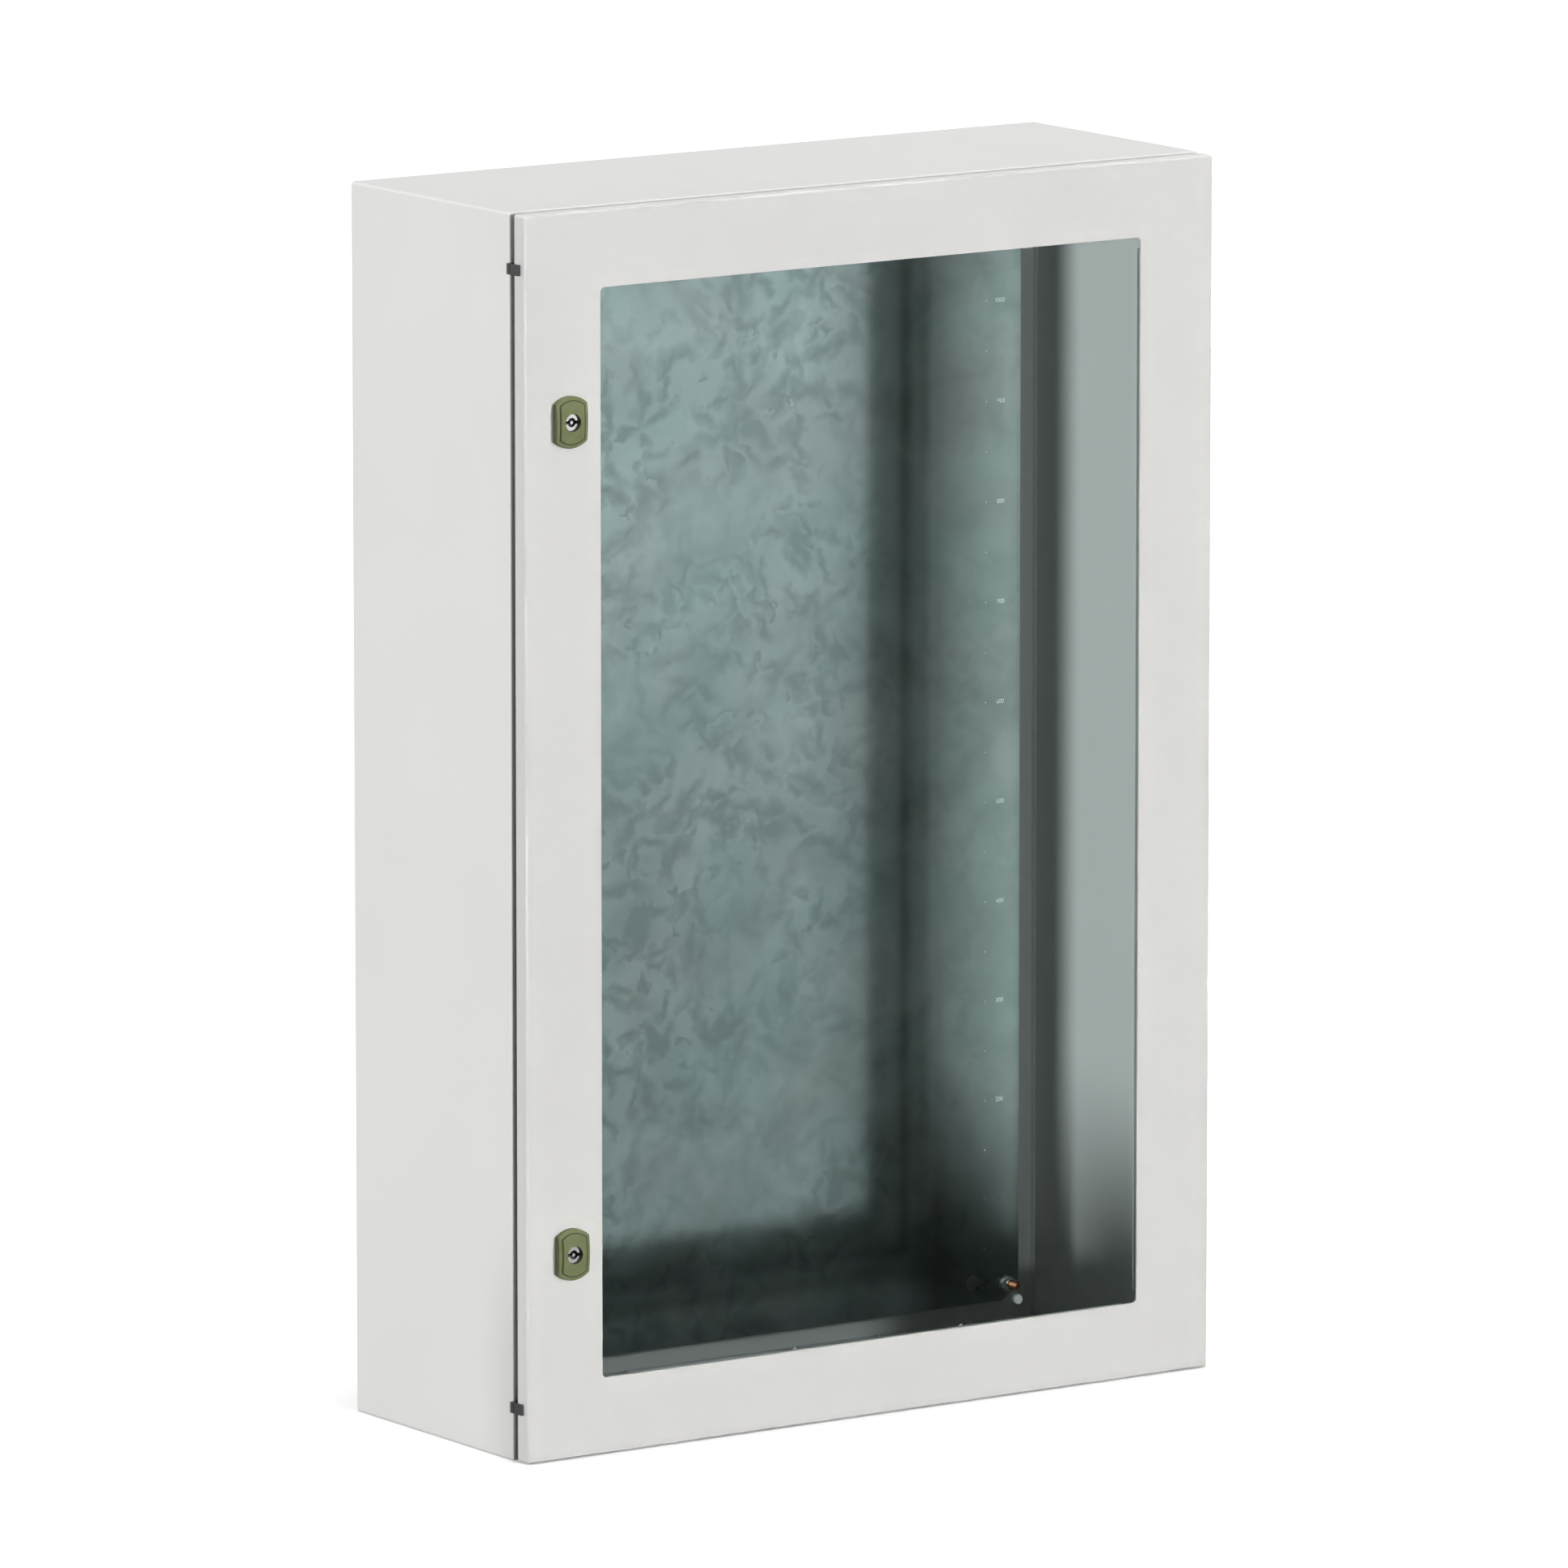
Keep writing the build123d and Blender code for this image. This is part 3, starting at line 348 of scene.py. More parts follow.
def creases(tree, place, spacing, width, length):
    """One soft, ragged crease in every cell of a random net, each at its own slant."""
    add = tree.nodes.new
    link = tree.links.new
    raggedness = spacing * 0.75
    rag = add("ShaderNodeTexNoise")
    rag.inputs["Scale"].default_value = 2.5 / spacing
    rag.inputs["Detail"].default_value = 5.0
    link(place, rag.inputs["Vector"])
    stir = add("ShaderNodeVectorMath")
    stir.operation = "MULTIPLY_ADD"
    stir.inputs[1].default_value = (raggedness, raggedness, raggedness)
    link(rag.outputs["Color"], stir.inputs[0])
    link(place, stir.inputs[2])
    net = add("ShaderNodeTexVoronoi")
    net.inputs["Scale"].default_value = 1 / spacing
    link(stir.outputs[0], net.inputs["Vector"])
    away = add("ShaderNodeVectorMath")
    away.operation = "SUBTRACT"
    link(stir.outputs[0], away.inputs[0])
    link(net.outputs["Position"], away.inputs[1])
    chance = add("ShaderNodeSeparateColor")
    link(net.outputs["Color"], chance.inputs[0])
    slant = add("ShaderNodeVectorRotate")
    slant.rotation_type = "Y_AXIS"
    link(away.outputs[0], slant.inputs["Vector"])
    link(spread(tree, chance.outputs[0], 0.0, math.pi, 0.0, 1.0), slant.inputs["Angle"])
    squeeze = add("ShaderNodeVectorMath")
    squeeze.operation = "MULTIPLY"
    squeeze.inputs[1].default_value = (1 / width, 0, 1 / length)
    link(slant.outputs[0], squeeze.inputs[0])
    reach = add("ShaderNodeVectorMath")
    reach.operation = "LENGTH"
    link(squeeze.outputs[0], reach.inputs[0])
    return spread(tree, reach.outputs["Value"], 1.0, 0.0, 0.1, 1.0)


def scale_colour(tree, shader, factor):
    """Lightens or darkens a shader's colour by a pattern."""
    node = tree.nodes.new("ShaderNodeVectorMath")
    node.operation = "SCALE"
    tree.links.new(shader.inputs["Base Color"].links[0].from_socket, node.inputs[0])
    tree.links.new(factor, node.inputs["Scale"])
    tree.links.new(node.outputs[0], shader.inputs["Base Color"])


# Painted reflection and shade: each band up the sheet lightens or darkens the zinc; how much, where along x
# it begins and where it is reached.
painted_light_bands = ((0.8, 0.11, 0.165), (1.55, 0.19, 0.22), (0.52, 0.235, 0.27), (2.15, 0.275, 0.355))
sheet_tones = ((0.33, 0.386, 0.388), (0.5, 0.572, 0.574))
stain_tones = ((0.95, 1.0, 0.985), (1.0, 0.97, 0.965))
long_crease = {"spacing": 0.058, "width": 0.013, "length": 0.05}
short_crease = {"spacing": 0.036, "width": 0.0085, "length": 0.03}
crease_darkness = -0.37
# Painted shade at the foot of the sheet: how dark, and the heights where it is full and where it ends.
foot_painted_shade = 0.5
foot_shade_low = -0.53
foot_shade_high = -0.47
crease_relief = 0.00006
grain_relief = 0.000015
dish_slope = 0.09
flat_slope = 0.5
flat_start = 0.114
dish_blend = 0.03


def galvanised_sheet():
    """Zinc coat: cloudy metal with dark creases and a fine grain, shaded as a slightly dished sheet, with
    painted bands of reflection and shade and painted shade at its foot.
    """
    finish, tree, shader, place = new_finish("galvanised_sheet")
    add = tree.nodes.new
    link = tree.links.new
    cloud = noise(tree, place, 14.0, detail=4.0, distortion=0.5)
    grain = noise(tree, place, 700.0, detail=1.0)
    long_creases = creases(tree, place, **long_crease)
    short_creases = creases(tree, place, **short_crease)
    axes = add("ShaderNodeSeparateXYZ")
    link(place, axes.inputs[0])
    across = axes.outputs["X"]
    worn = spread(tree, across, 1.0, 0.3, 0.14, 0.24)
    clump = spread(tree, noise(tree, place, 6.0, detail=1.0), 0.35, 1.25, 0.36, 0.62)
    depth = work_out(tree, "MULTIPLY", work_out(tree, "MAXIMUM", long_creases, short_creases), worn)
    clumped = work_out(tree, "MULTIPLY", depth, clump)
    tone = work_out(tree, "MULTIPLY_ADD", clumped, crease_darkness, cloud)
    stained = add("ShaderNodeVectorMath")
    stained.operation = "MULTIPLY"
    link(tones(tree, tone, *sheet_tones, 0.1, 0.65), stained.inputs[0])
    link(tones(tree, noise(tree, place, 8.0), *stain_tones, 0.36, 0.62), stained.inputs[1])
    link(stained.outputs[0], shader.inputs["Base Color"])
    # Painted reflection and shade: bands up the sheet lighten or darken the zinc colour along x.
    for factor, band_start, band_end in painted_light_bands:
        scale_colour(tree, shader, spread(tree, across, 1.0, factor, band_start, band_end))
    # Painted shade: the zinc colour darkens towards the foot of the sheet.
    scale_colour(tree, shader, spread(tree, axes.outputs["Z"], foot_painted_shade, 1.0, foot_shade_low, foot_shade_high))
    link(spread(tree, cloud, 0.12, 0.15), shader.inputs["Roughness"])
    shader.inputs["Metallic"].default_value = 1.0
    flatter = work_out(tree, "MULTIPLY_ADD", across, flat_slope, flat_start)
    profile = work_out(tree, "SMOOTH_MIN", across, flatter, dish_blend)
    under = None
    for height, distance in ((profile, dish_slope), (tone, crease_relief), (grain, grain_relief)):
        layer = add("ShaderNodeBump")
        layer.inputs["Distance"].default_value = distance
        link(height, layer.inputs["Height"])
        if under:
            link(under, layer.inputs["Normal"])
        under = layer.outputs["Normal"]
    link(under, shader.inputs["Normal"])
    return finish


dress(galvanised_sheet(), "mounting_plate")

plate_low, plate_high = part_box("mounting_plate")
ink = powder_coat("scale_ink", (0.86, 0.93, 0.92))
ink_lift = 0.00004
numeral_right = plate_high.x - 0.019
numeral_boldness = 0.01
numeral_height = 0.0043
numeral_lift = 0.0045
numeral_pitch = 0.1
numeral_count = 10
numeral_points = []
numeral_faces = []
for number in range(1, numeral_count + 1):
    curve = bpy.data.curves.new("numeral", "FONT")
    curve.body = str(number * 100)
    curve.align_x = "RIGHT"
    curve.offset = numeral_boldness
    text = new_piece("numeral", curve)
    bpy.context.view_layer.update()
    flat = bpy.data.meshes.new_from_object(text.evaluated_get(bpy.context.evaluated_depsgraph_get()))
    tall = max(v.co.y for v in flat.vertices)
    scale = numeral_height / tall
    base = plate_low.z + numeral_lift + number * numeral_pitch - numeral_height / 2
    first = len(numeral_points)
    for v in flat.vertices:
        x = numeral_right + v.co.x * scale
        numeral_points.append((x, plate_low.y - ink_lift, base + v.co.y * scale))
    numeral_faces += [tuple(first + corner for corner in face.vertices) for face in flat.polygons]
    bpy.data.objects.remove(text)
numeral_mesh = bpy.data.meshes.new("plate_scale_numerals")
numeral_mesh.from_pydata(numeral_points, [], numeral_faces)
numeral_mesh.materials.append(ink)
numerals = new_piece("plate_scale_numerals", numeral_mesh)
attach(numerals, "body")


def dot_tree():
    """Node tree for a row of printed dots up the plate."""
    tree = bpy.data.node_groups.new("scale_dots", "GeometryNodeTree")
    face = tree.interface
    for label, kind in (
        ("Count", "NodeSocketInt"),
        ("Start", "NodeSocketVector"),
        ("Step", "NodeSocketVector"),
        ("Dot Radius", "NodeSocketFloat"),
        ("Facing", "NodeSocketVector"),
        ("Finish", "NodeSocketMaterial"),
    ):
        face.new_socket(label, in_out="INPUT", socket_type=kind)
    face.new_socket("Geometry", in_out="OUTPUT", socket_type="NodeSocketGeometry")
    add = tree.nodes.new
    link = tree.links.new
    given = add("NodeGroupInput").outputs
    row = add("GeometryNodeMeshLine")
    dot = add("GeometryNodeMeshCircle")
    dot.fill_type = "NGON"
    dot.inputs["Vertices"].default_value = 12
    set_on = add("GeometryNodeInstanceOnPoints")
    facing = add("FunctionNodeEulerToRotation")
    whole = add("GeometryNodeRealizeInstances")
    coat = add("GeometryNodeSetMaterial")
    link(given["Count"], row.inputs["Count"])
    link(given["Start"], row.inputs["Start Location"])
    link(given["Step"], row.inputs["Offset"])
    link(given["Dot Radius"], dot.inputs["Radius"])
    link(given["Facing"], facing.inputs[0])
    link(row.outputs[0], set_on.inputs["Points"])
    link(dot.outputs[0], set_on.inputs["Instance"])
    link(facing.outputs[0], set_on.inputs["Rotation"])
    link(set_on.outputs["Instances"], whole.inputs["Geometry"])
    link(whole.outputs["Geometry"], coat.inputs["Geometry"])
    link(given["Finish"], coat.inputs["Material"])
    link(coat.outputs["Geometry"], add("NodeGroupOutput").inputs["Geometry"])
    return tree


dot_pitch = 0.05
dot_column = plate_high.x - 0.0412
dots = new_piece("plate_scale_dots", bpy.data.meshes.new("plate_scale_dots"))
run_nodes(
    dots,
    dot_tree(),
    {
        "Count": 21,
        "Start": (dot_column, plate_low.y - ink_lift, plate_low.z + numeral_lift + dot_pitch),
        "Step": (0, 0, dot_pitch),
        "Dot Radius": 0.0006,
        "Facing": to_front,
        "Finish": ink,
    },
)
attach(dots, "body")


# Nuts of the equipment plate and the earth stud in the body
# Zinc-plated hexagon nuts, chamfered on both faces, each run down by hand to its own angle. The earth stud
# is another copper-plated weld stud, on the hinge-side wall.
def hex_nut(name, flats, bore, height, segments=36):
    """Hexagon nut along z with turned chamfers."""
    corner = flats / math.sqrt(3)
    cut = corner - flats / 2

    def hexagon(turn):
        return flats / 2 / math.cos((turn % (math.pi / 3)) - math.pi / 6)

    def faced(turn):
        return min(hexagon(turn), flats / 2 * 0.97)

    rings = [
        ring_of(lambda turn: bore, 0, segments),
        ring_of(faced, 0, segments),
        ring_of(hexagon, cut * 0.6, segments),
        ring_of(hexagon, height - cut * 0.6, segments),
        ring_of(faced, height, segments),
        ring_of(lambda turn: bore * 1.08, height, segments),
        ring_of(lambda turn: bore, height - bore * 0.08, segments),
    ]
    return loft(name, rings, open_middle=True)


m8_flats = 0.013
m8_bore = 0.0041
nut_low, nut_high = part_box("plate_nuts")
set_fixings(
    "plate_hex_nuts",
    hex_nut("plate_hex_nut", m8_flats, m8_bore, nut_high.y - nut_low.y),
    corners_of("plate_studs", m8_radius, nut_high.y),
    to_front,
    zinc,
    "body",
    "plate_nuts",
    seed=11,
)

earth_low, earth_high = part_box("body_earth_stud")
earth_point = (earth_high.x, (earth_low.y + earth_high.y) / 2, (earth_low.z + earth_high.z) / 2)
set_fixings(
    "body_earth_thread",
    threaded_rod("body_earth_rod", m8_radius, m8_pitch, earth_high.x - earth_low.x, 22),
    [earth_point],
    to_left,
    copper,
    "body",
    "body_earth_stud",
    seed=5,
)
earth_nut_low, earth_nut_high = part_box("body_earth_nut")
set_fixings(
    "body_earth_hex_nut",
    hex_nut("earth_hex_nut", m8_flats, m8_bore, earth_nut_high.x - earth_nut_low.x),
    [earth_point],
    to_left,
    zinc,
    "body",
    "body_earth_nut",
    seed=6,
    angle_spread=0.0,
)


# Gland plate fixings and seals
# Small weld studs with nuts along both long sides of the floor's openings, over a flat black rubber seal
# that is cut from sheet.
def moulded_rubber(name, colour, scale):
    """Rubber: dull, with a fine skin grain and a little dust in it."""
    finish, tree, shader, place = new_finish(name)
    dust = noise(tree, place, 45.0, detail=4.0)
    grain = noise(tree, place, scale)
    tree.links.new(tones(tree, dust, colour, shade(colour, 1.5)), shader.inputs["Base Color"])
    tree.links.new(spread(tree, dust, 0.6, 0.78), shader.inputs["Roughness"])
    relief(tree, grain, 0.0001, 0.4, shader)
    return finish


black_rubber = moulded_rubber("black_rubber", (0.022, 0.022, 0.022), 1500.0)
dress(black_rubber, "gland_seal_left", "gland_seal_right")

m4_radius = 0.002
m4_pitch = 0.0007
m4_flats = 0.007
m4_bore = 0.0021
gland_pitch = 0.1
gland_stud_low, gland_stud_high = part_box("gland_studs")
gland_columns = [gland_stud_low.x + m4_radius + column * gland_pitch for column in (0, 1, 2, 4, 5, 6)]
gland_rows = (gland_stud_low.y + m4_radius, gland_stud_high.y - m4_radius)
gland_points = [(x, y, gland_stud_low.z) for x in gland_columns for y in gland_rows]
set_fixings(
    "gland_stud_threads",
    threaded_rod("gland_stud_thread", m4_radius, m4_pitch, gland_stud_high.z - gland_stud_low.z, 12),
    gland_points,
    upward,
    zinc,
    "body",
    "gland_studs",
    seed=17,
)
gland_nut_low, gland_nut_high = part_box("gland_nuts")
set_fixings(
    "gland_hex_nuts",
    hex_nut("gland_hex_nut", m4_flats, m4_bore, gland_nut_high.z - gland_nut_low.z, segments=24),
    [(x, y, gland_nut_low.z) for x, y, z in gland_points],
    upward,
    zinc,
    "body",
    "gland_nuts",
    seed=19,
)


# Hinges and the blanks on the lock side
# Black die-cast brackets and leaves on a bright steel pin, held by countersunk socket screws. Black moulded
# caps fill the same places on the other side.
def dark_moulding(name, colour, gloss, scale):
    """Black casting or moulding: satin, with the fine grain of its mould."""
    finish, tree, shader, place = new_finish(name)
    flow = noise(tree, place, 60.0, detail=3.0)
    grain = noise(tree, place, scale)
    tree.links.new(tones(tree, flow, colour, shade(colour, 1.35)), shader.inputs["Base Color"])
    tree.links.new(spread(tree, grain, gloss, gloss + 0.1), shader.inputs["Roughness"])
    relief(tree, grain, 0.00008, 0.4, shader)
    return finish


casting = dark_moulding("black_casting", (0.03, 0.03, 0.03), 0.38, 1400.0)
cap_plastic = dark_moulding("black_cap_plastic", (0.042, 0.042, 0.042), 0.34, 2000.0)
pin_steel = plated("pin_steel", (0.55, 0.55, 0.55), 0.2, 0.3)
for place_name in ("upper", "lower"):
    dress(casting, f"{place_name}_hinge_bracket", f"{place_name}_hinge_leaf")
    dress(cap_plastic, f"{place_name}_hinge_blank")
    dress(pin_steel, f"{place_name}_hinge_pin")


def sunk_screw(name, head, shank, length, socket, segments=24):
    """Countersunk screw driven along z, its flat head at the start with a hexagon socket."""
    depth = head - shank

    def hexagon(turn):
        return socket / 2 / math.cos((turn % (math.pi / 3)) - math.pi / 6)

    rings = [
        ring_of(lambda turn: hexagon(turn) * 0.96, depth * 0.7, segments),
        ring_of(hexagon, 0.0001, segments),
        ring_of(lambda turn: hexagon(turn) * 1.08, 0, segments),
        ring_of(lambda turn: head - 0.0001, 0, segments),
        ring_of(lambda turn: head, 0.0001, segments),
        ring_of(lambda turn: shank, depth, segments),
        ring_of(lambda turn: shank, length - shank * 0.3, segments),
        ring_of(lambda turn: shank * 0.7, length, segments),
    ]
    return loft(name, rings)


screw_head = 0.0038
screw_socket = 0.0025
for node, side, axis_turn, body, seed in (
    ("hinge_bracket_screws", "bracket", to_rear, "body", 23),
    ("hinge_leaf_screws", "leaf", to_front, "door", 29),
):
    low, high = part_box(node)
    start = low.y if axis_turn is to_rear else high.y
    centre_x = (low.x + high.x) / 2
    set_fixings(
        f"hinge_{side}_socket_screws",
        sunk_screw(f"hinge_{side}_screw", screw_head, m4_radius, high.y - low.y, screw_socket),
        [(centre_x, start, low.z + screw_head), (centre_x, start, high.z - screw_head)],
        axis_turn,
        zinc,
        body,
        node,
        seed=seed,
    )


# Door shell and the strips that hold its glass
# Folded sheet with deep rims, in the same light grey powder coat as the body but hung as its own batch. The
# strips are folded from thinner offcuts and coated with it.
door_coat = powder_coat("door_powder_coat", light_grey)
dress(door_coat, "door_shell")
for side_name in ("left", "right", "top", "bottom"):
    dress(door_coat, f"glass_retainer_{side_name}")


# Door gasket
# Foamed polyurethane, poured as one bead round the inside of the door by a dosing head and left to rise, so
# that its skin is smooth and domed.
def frame_path(half_x, half_z, corner, corner_steps):
    """Points and outward directions round a rectangle with round corners."""
    path = []
    for sign_x, sign_z, first in ((1, 1, 0), (-1, 1, 1), (-1, -1, 2), (1, -1, 3)):
        for step in range(corner_steps + 1):
            turn = (first + step / corner_steps) * math.pi / 2
            out = Vector((math.cos(turn), 0, math.sin(turn)))
            middle = Vector((sign_x * (half_x - corner), 0, sign_z * (half_z - corner)))
            path.append((middle + corner * out, out))
    return path


def fill_in(path, longest):
    """Adds points along the straight runs of a path."""
    filled = []
    for (start, start_out), (end, end_out) in zip(path, path[1:] + path[:1]):
        pieces = max(1, math.ceil((end - start).length / longest))
        for step in range(pieces):
            share = step / pieces
            filled.append((start.lerp(end, share), start_out.lerp(end_out, share).normalized()))
    return filled


def sweep(name, path, section):
    """Runs a section of (outward, y) points round a path."""
    rings = []
    for point, out in path:
        rings.append([point + out * reach + Vector((0, y, 0)) for reach, y in section])
    return loft(name, rings, open_middle=True)


gasket_low, gasket_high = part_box("door_gasket")
gasket_half = 0.006
gasket_corner = 0.008
gasket_step = 0.02
gasket_rise = gasket_high.y - gasket_low.y
gasket_section = [(gasket_half, gasket_low.y), (-gasket_half, gasket_low.y)]
dome_steps = 14
for step in range(1, dome_steps):
    turn = math.pi * (1 - step / dome_steps)
    flat_side = math.copysign(abs(math.cos(turn)) ** 0.6, math.cos(turn))
    gasket_section.append((gasket_half * flat_side, gasket_low.y + gasket_rise * math.sin(turn) ** 0.75))
gasket_outline = frame_path(gasket_high.x - gasket_half, gasket_high.z - gasket_half, gasket_corner, 8)
gasket_path = fill_in(gasket_outline, gasket_step)
gasket_foam = moulded_rubber("gasket_foam", (0.045, 0.045, 0.047), 420.0)
gasket_mesh = sweep("door_gasket_bead", gasket_path, gasket_section)
gasket_mesh.materials.append(gasket_foam)
gasket = new_piece("door_gasket_bead", gasket_mesh)
gasket_mesh.shade_smooth()
gasket_mesh.set_sharp_from_angle(angle=math.radians(50))
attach(gasket, "door")
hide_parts("door_gasket")


# Window glass and its seal
# Toughened float glass, ground at the edges, bedded against the door on a grey silicone strip whose inner
# edge stands just behind the cut-out.
seal_low, seal_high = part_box("glass_seal")
seal_half_width = 0.00325
seal_depth = seal_high.y - seal_low.y
seal_section = []
seal_round = 0.0005
seal_corner = 0.00975
for reach_sign, y_sign in ((1, 1), (-1, 1), (-1, -1), (1, -1)):
    corner_reach = reach_sign * (seal_half_width - seal_round)
    corner_y = (seal_low.y + seal_high.y) / 2 + y_sign * (seal_depth / 2 - seal_round)
    first = {(1, 1): 0, (-1, 1): 1, (-1, -1): 2, (1, -1): 3}[(reach_sign, y_sign)]
    for step in range(4):
        turn = (first + step / 3) * math.pi / 2
        reach = corner_reach + seal_round * math.cos(turn)
        seal_section.append((reach, corner_y + seal_round * math.sin(turn)))
seal_path = frame_path(seal_high.x - seal_half_width, seal_high.z - seal_half_width, seal_corner, 8)
seal_silicone = moulded_rubber("grey_silicone", (0.5, 0.53, 0.51), 900.0)
seal_mesh = sweep("glass_bedding_strip", seal_path, seal_section)
seal_mesh.materials.append(seal_silicone)
seal = new_piece("glass_bedding_strip", seal_mesh)
seal_mesh.shade_smooth()
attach(seal, "door")
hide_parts("glass_seal")


def float_glass():
    """Clear pane: green in its depth, mirror-smooth faces, ground and frosted at the edges."""
    finish, tree, shader, place = new_finish("float_glass")
    add = tree.nodes.new
    link = tree.links.new
    clear = add("ShaderNodeBsdfTransparent")
    clear.inputs["Color"].default_value = (0.935, 0.968, 0.967, 1)
    mirror = add("ShaderNodeBsdfGlossy")
    mirror.inputs["Roughness"].default_value = 0.01
    gloss = add("ShaderNodeFresnel")
    gloss.inputs["IOR"].default_value = 1.5
    surface = add("ShaderNodeNewGeometry")
    outside = work_out(tree, "SUBTRACT", 1.0, surface.outputs["Backfacing"])
    reflected_share = 0.12
    coated = work_out(tree, "MULTIPLY", gloss.outputs[0], reflected_share)
    face = add("ShaderNodeMixShader")
    link(work_out(tree, "MULTIPLY", coated, outside), face.inputs[0])
    link(clear.outputs[0], face.inputs[1])
    link(mirror.outputs[0], face.inputs[2])
    grind = noise(tree, place, 700.0)
    link(tones(tree, grind, (0.1, 0.24, 0.19), (0.2, 0.4, 0.33)), shader.inputs["Base Color"])
    link(spread(tree, grind, 0.35, 0.55), shader.inputs["Roughness"])
    split = add("ShaderNodeSeparateXYZ")
    link(surface.outputs["True Normal"], split.inputs[0])
    edge = work_out(tree, "LESS_THAN", work_out(tree, "ABSOLUTE", split.outputs["Y"]), 0.5)
    pane = add("ShaderNodeMixShader")
    link(edge, pane.inputs[0])
    link(face.outputs[0], pane.inputs[1])
    link(shader.outputs[0], pane.inputs[2])
    link(pane.outputs[0], tree.nodes["Material Output"].inputs["Surface"])
    return finish


dress(float_glass(), "window_glass")


# Studs and nuts of the glass strips, and the door's earth stud
# Fine weld studs on the inside of the door, with small nuts over the strips. The earth stud is copper
# plated like those in the body.
strip_stud_low, strip_stud_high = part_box("retainer_studs")
side_low, side_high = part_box("glass_retainer_left")
top_low, top_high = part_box("glass_retainer_top")
stud_end_inset = 0.053
side_x = (strip_stud_low.x + m4_radius, strip_stud_high.x - m4_radius)
top_z = (strip_stud_low.z + m4_radius, strip_stud_high.z - m4_radius)
side_run = side_high.z - side_low.z - 2 * stud_end_inset
top_run = top_high.x - top_low.x - 2 * stud_end_inset
strip_points = [(x, z) for x in side_x for z in [side_run * (row / 4 - 0.5) for row in range(5)]]
strip_points += [(x, z) for z in top_z for x in [top_run * (column / 2 - 0.5) for column in range(3)]]
set_fixings(
    "strip_stud_threads",
    threaded_rod("strip_stud_thread", m4_radius, m4_pitch, strip_stud_high.y - strip_stud_low.y, 12),
    [(x, strip_stud_low.y, z) for x, z in strip_points],
    to_rear,
    zinc,
    "door",
    "retainer_studs",
    seed=31,
)
strip_nut_low, strip_nut_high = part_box("retainer_nuts")
set_fixings(
    "strip_hex_nuts",
    hex_nut("strip_hex_nut", m4_flats, m4_bore, strip_nut_high.y - strip_nut_low.y, segments=24),
    [(x, strip_nut_low.y, z) for x, z in strip_points],
    to_rear,
    zinc,
    "door",
    "retainer_nuts",
    seed=37,
)

m6_radius = 0.003
m6_pitch = 0.001
m6_flats = 0.01
m6_bore = 0.0031
door_earth_low, door_earth_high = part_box("door_earth_stud")
door_earth_x = (door_earth_low.x + door_earth_high.x) / 2
door_earth_z = (door_earth_low.z + door_earth_high.z) / 2
set_fixings(
    "door_earth_thread",
    threaded_rod("door_earth_rod", m6_radius, m6_pitch, door_earth_high.y - door_earth_low.y, 18),
    [(door_earth_x, door_earth_low.y, door_earth_z)],
    to_rear,
    copper,
    "door",
    "door_earth_stud",
    seed=41,
)
door_nut_low, door_nut_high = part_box("door_earth_nut")
set_fixings(
    "door_earth_hex_nut",
    hex_nut("door_earth_nut_part", m6_flats, m6_bore, door_nut_high.y - door_nut_low.y),
    [(door_earth_x, door_nut_low.y, door_earth_z)],
    to_rear,
    zinc,
    "door",
    "door_earth_nut",
    seed=43,
)


# Quarter-turn locks
# Olive moulded heads with a bright die-cast double-bit insert, clamped through the door by a nut over a
# rubber seal. A plated cam on the insert's square swings behind the body's flange.
lock_x = -0.35
lock_z = 0.4
head_radius = 0.025
head_half_width = 0.0175
groove_inset = 0.0041
groove_half_width = 0.00045
mouth_radius = 0.0086
slot_half_height = 0.0017
# Painted shade behind the lock insert's face: depth where it begins and where it is full.
depth_shade_start = 0.0003
depth_shade_end = 0.002
# Painted shade in the groove round each lock head and in its mouth: how dark.
recess_painted_shade = 0.16
# How dark the painted shade behind the insert's face and in its slot is.
depth_shade_tone = 0.28
slot_shade_tone = 0.25
olive_tones = ((0.15, 0.175, 0.077), (0.19, 0.22, 0.102))


def from_lock(tree, place):
    """Distances from the nearer lock's axis, sideways and up, and the place from front to rear."""
    axes = tree.nodes.new("ShaderNodeSeparateXYZ")
    tree.links.new(place, axes.inputs[0])
    across = work_out(tree, "ABSOLUTE", work_out(tree, "SUBTRACT", axes.outputs["X"], lock_x))
    height = work_out(tree, "SUBTRACT", work_out(tree, "ABSOLUTE", axes.outputs["Z"]), lock_z)
    return across, work_out(tree, "ABSOLUTE", height), axes.outputs["Y"]


def lock_recesses(tree, place):
    """One in the groove round a lock's head and in its mouth, where shade is painted; nought elsewhere."""
    across, height, _ = from_lock(tree, place)
    across_squared = work_out(tree, "MULTIPLY", across, across)
    height_squared = work_out(tree, "MULTIPLY", height, height)
    radius = work_out(tree, "SQRT", work_out(tree, "ADD", across_squared, height_squared))
    from_arc = work_out(tree, "SUBTRACT", head_radius, radius)
    from_side = work_out(tree, "SUBTRACT", head_half_width, across)
    inset = work_out(tree, "MINIMUM", from_arc, from_side)
    off_groove = work_out(tree, "ABSOLUTE", work_out(tree, "SUBTRACT", inset, groove_inset))
    groove = work_out(tree, "LESS_THAN", off_groove, groove_half_width)
    return work_out(tree, "MAXIMUM", groove, work_out(tree, "LESS_THAN", radius, mouth_radius))


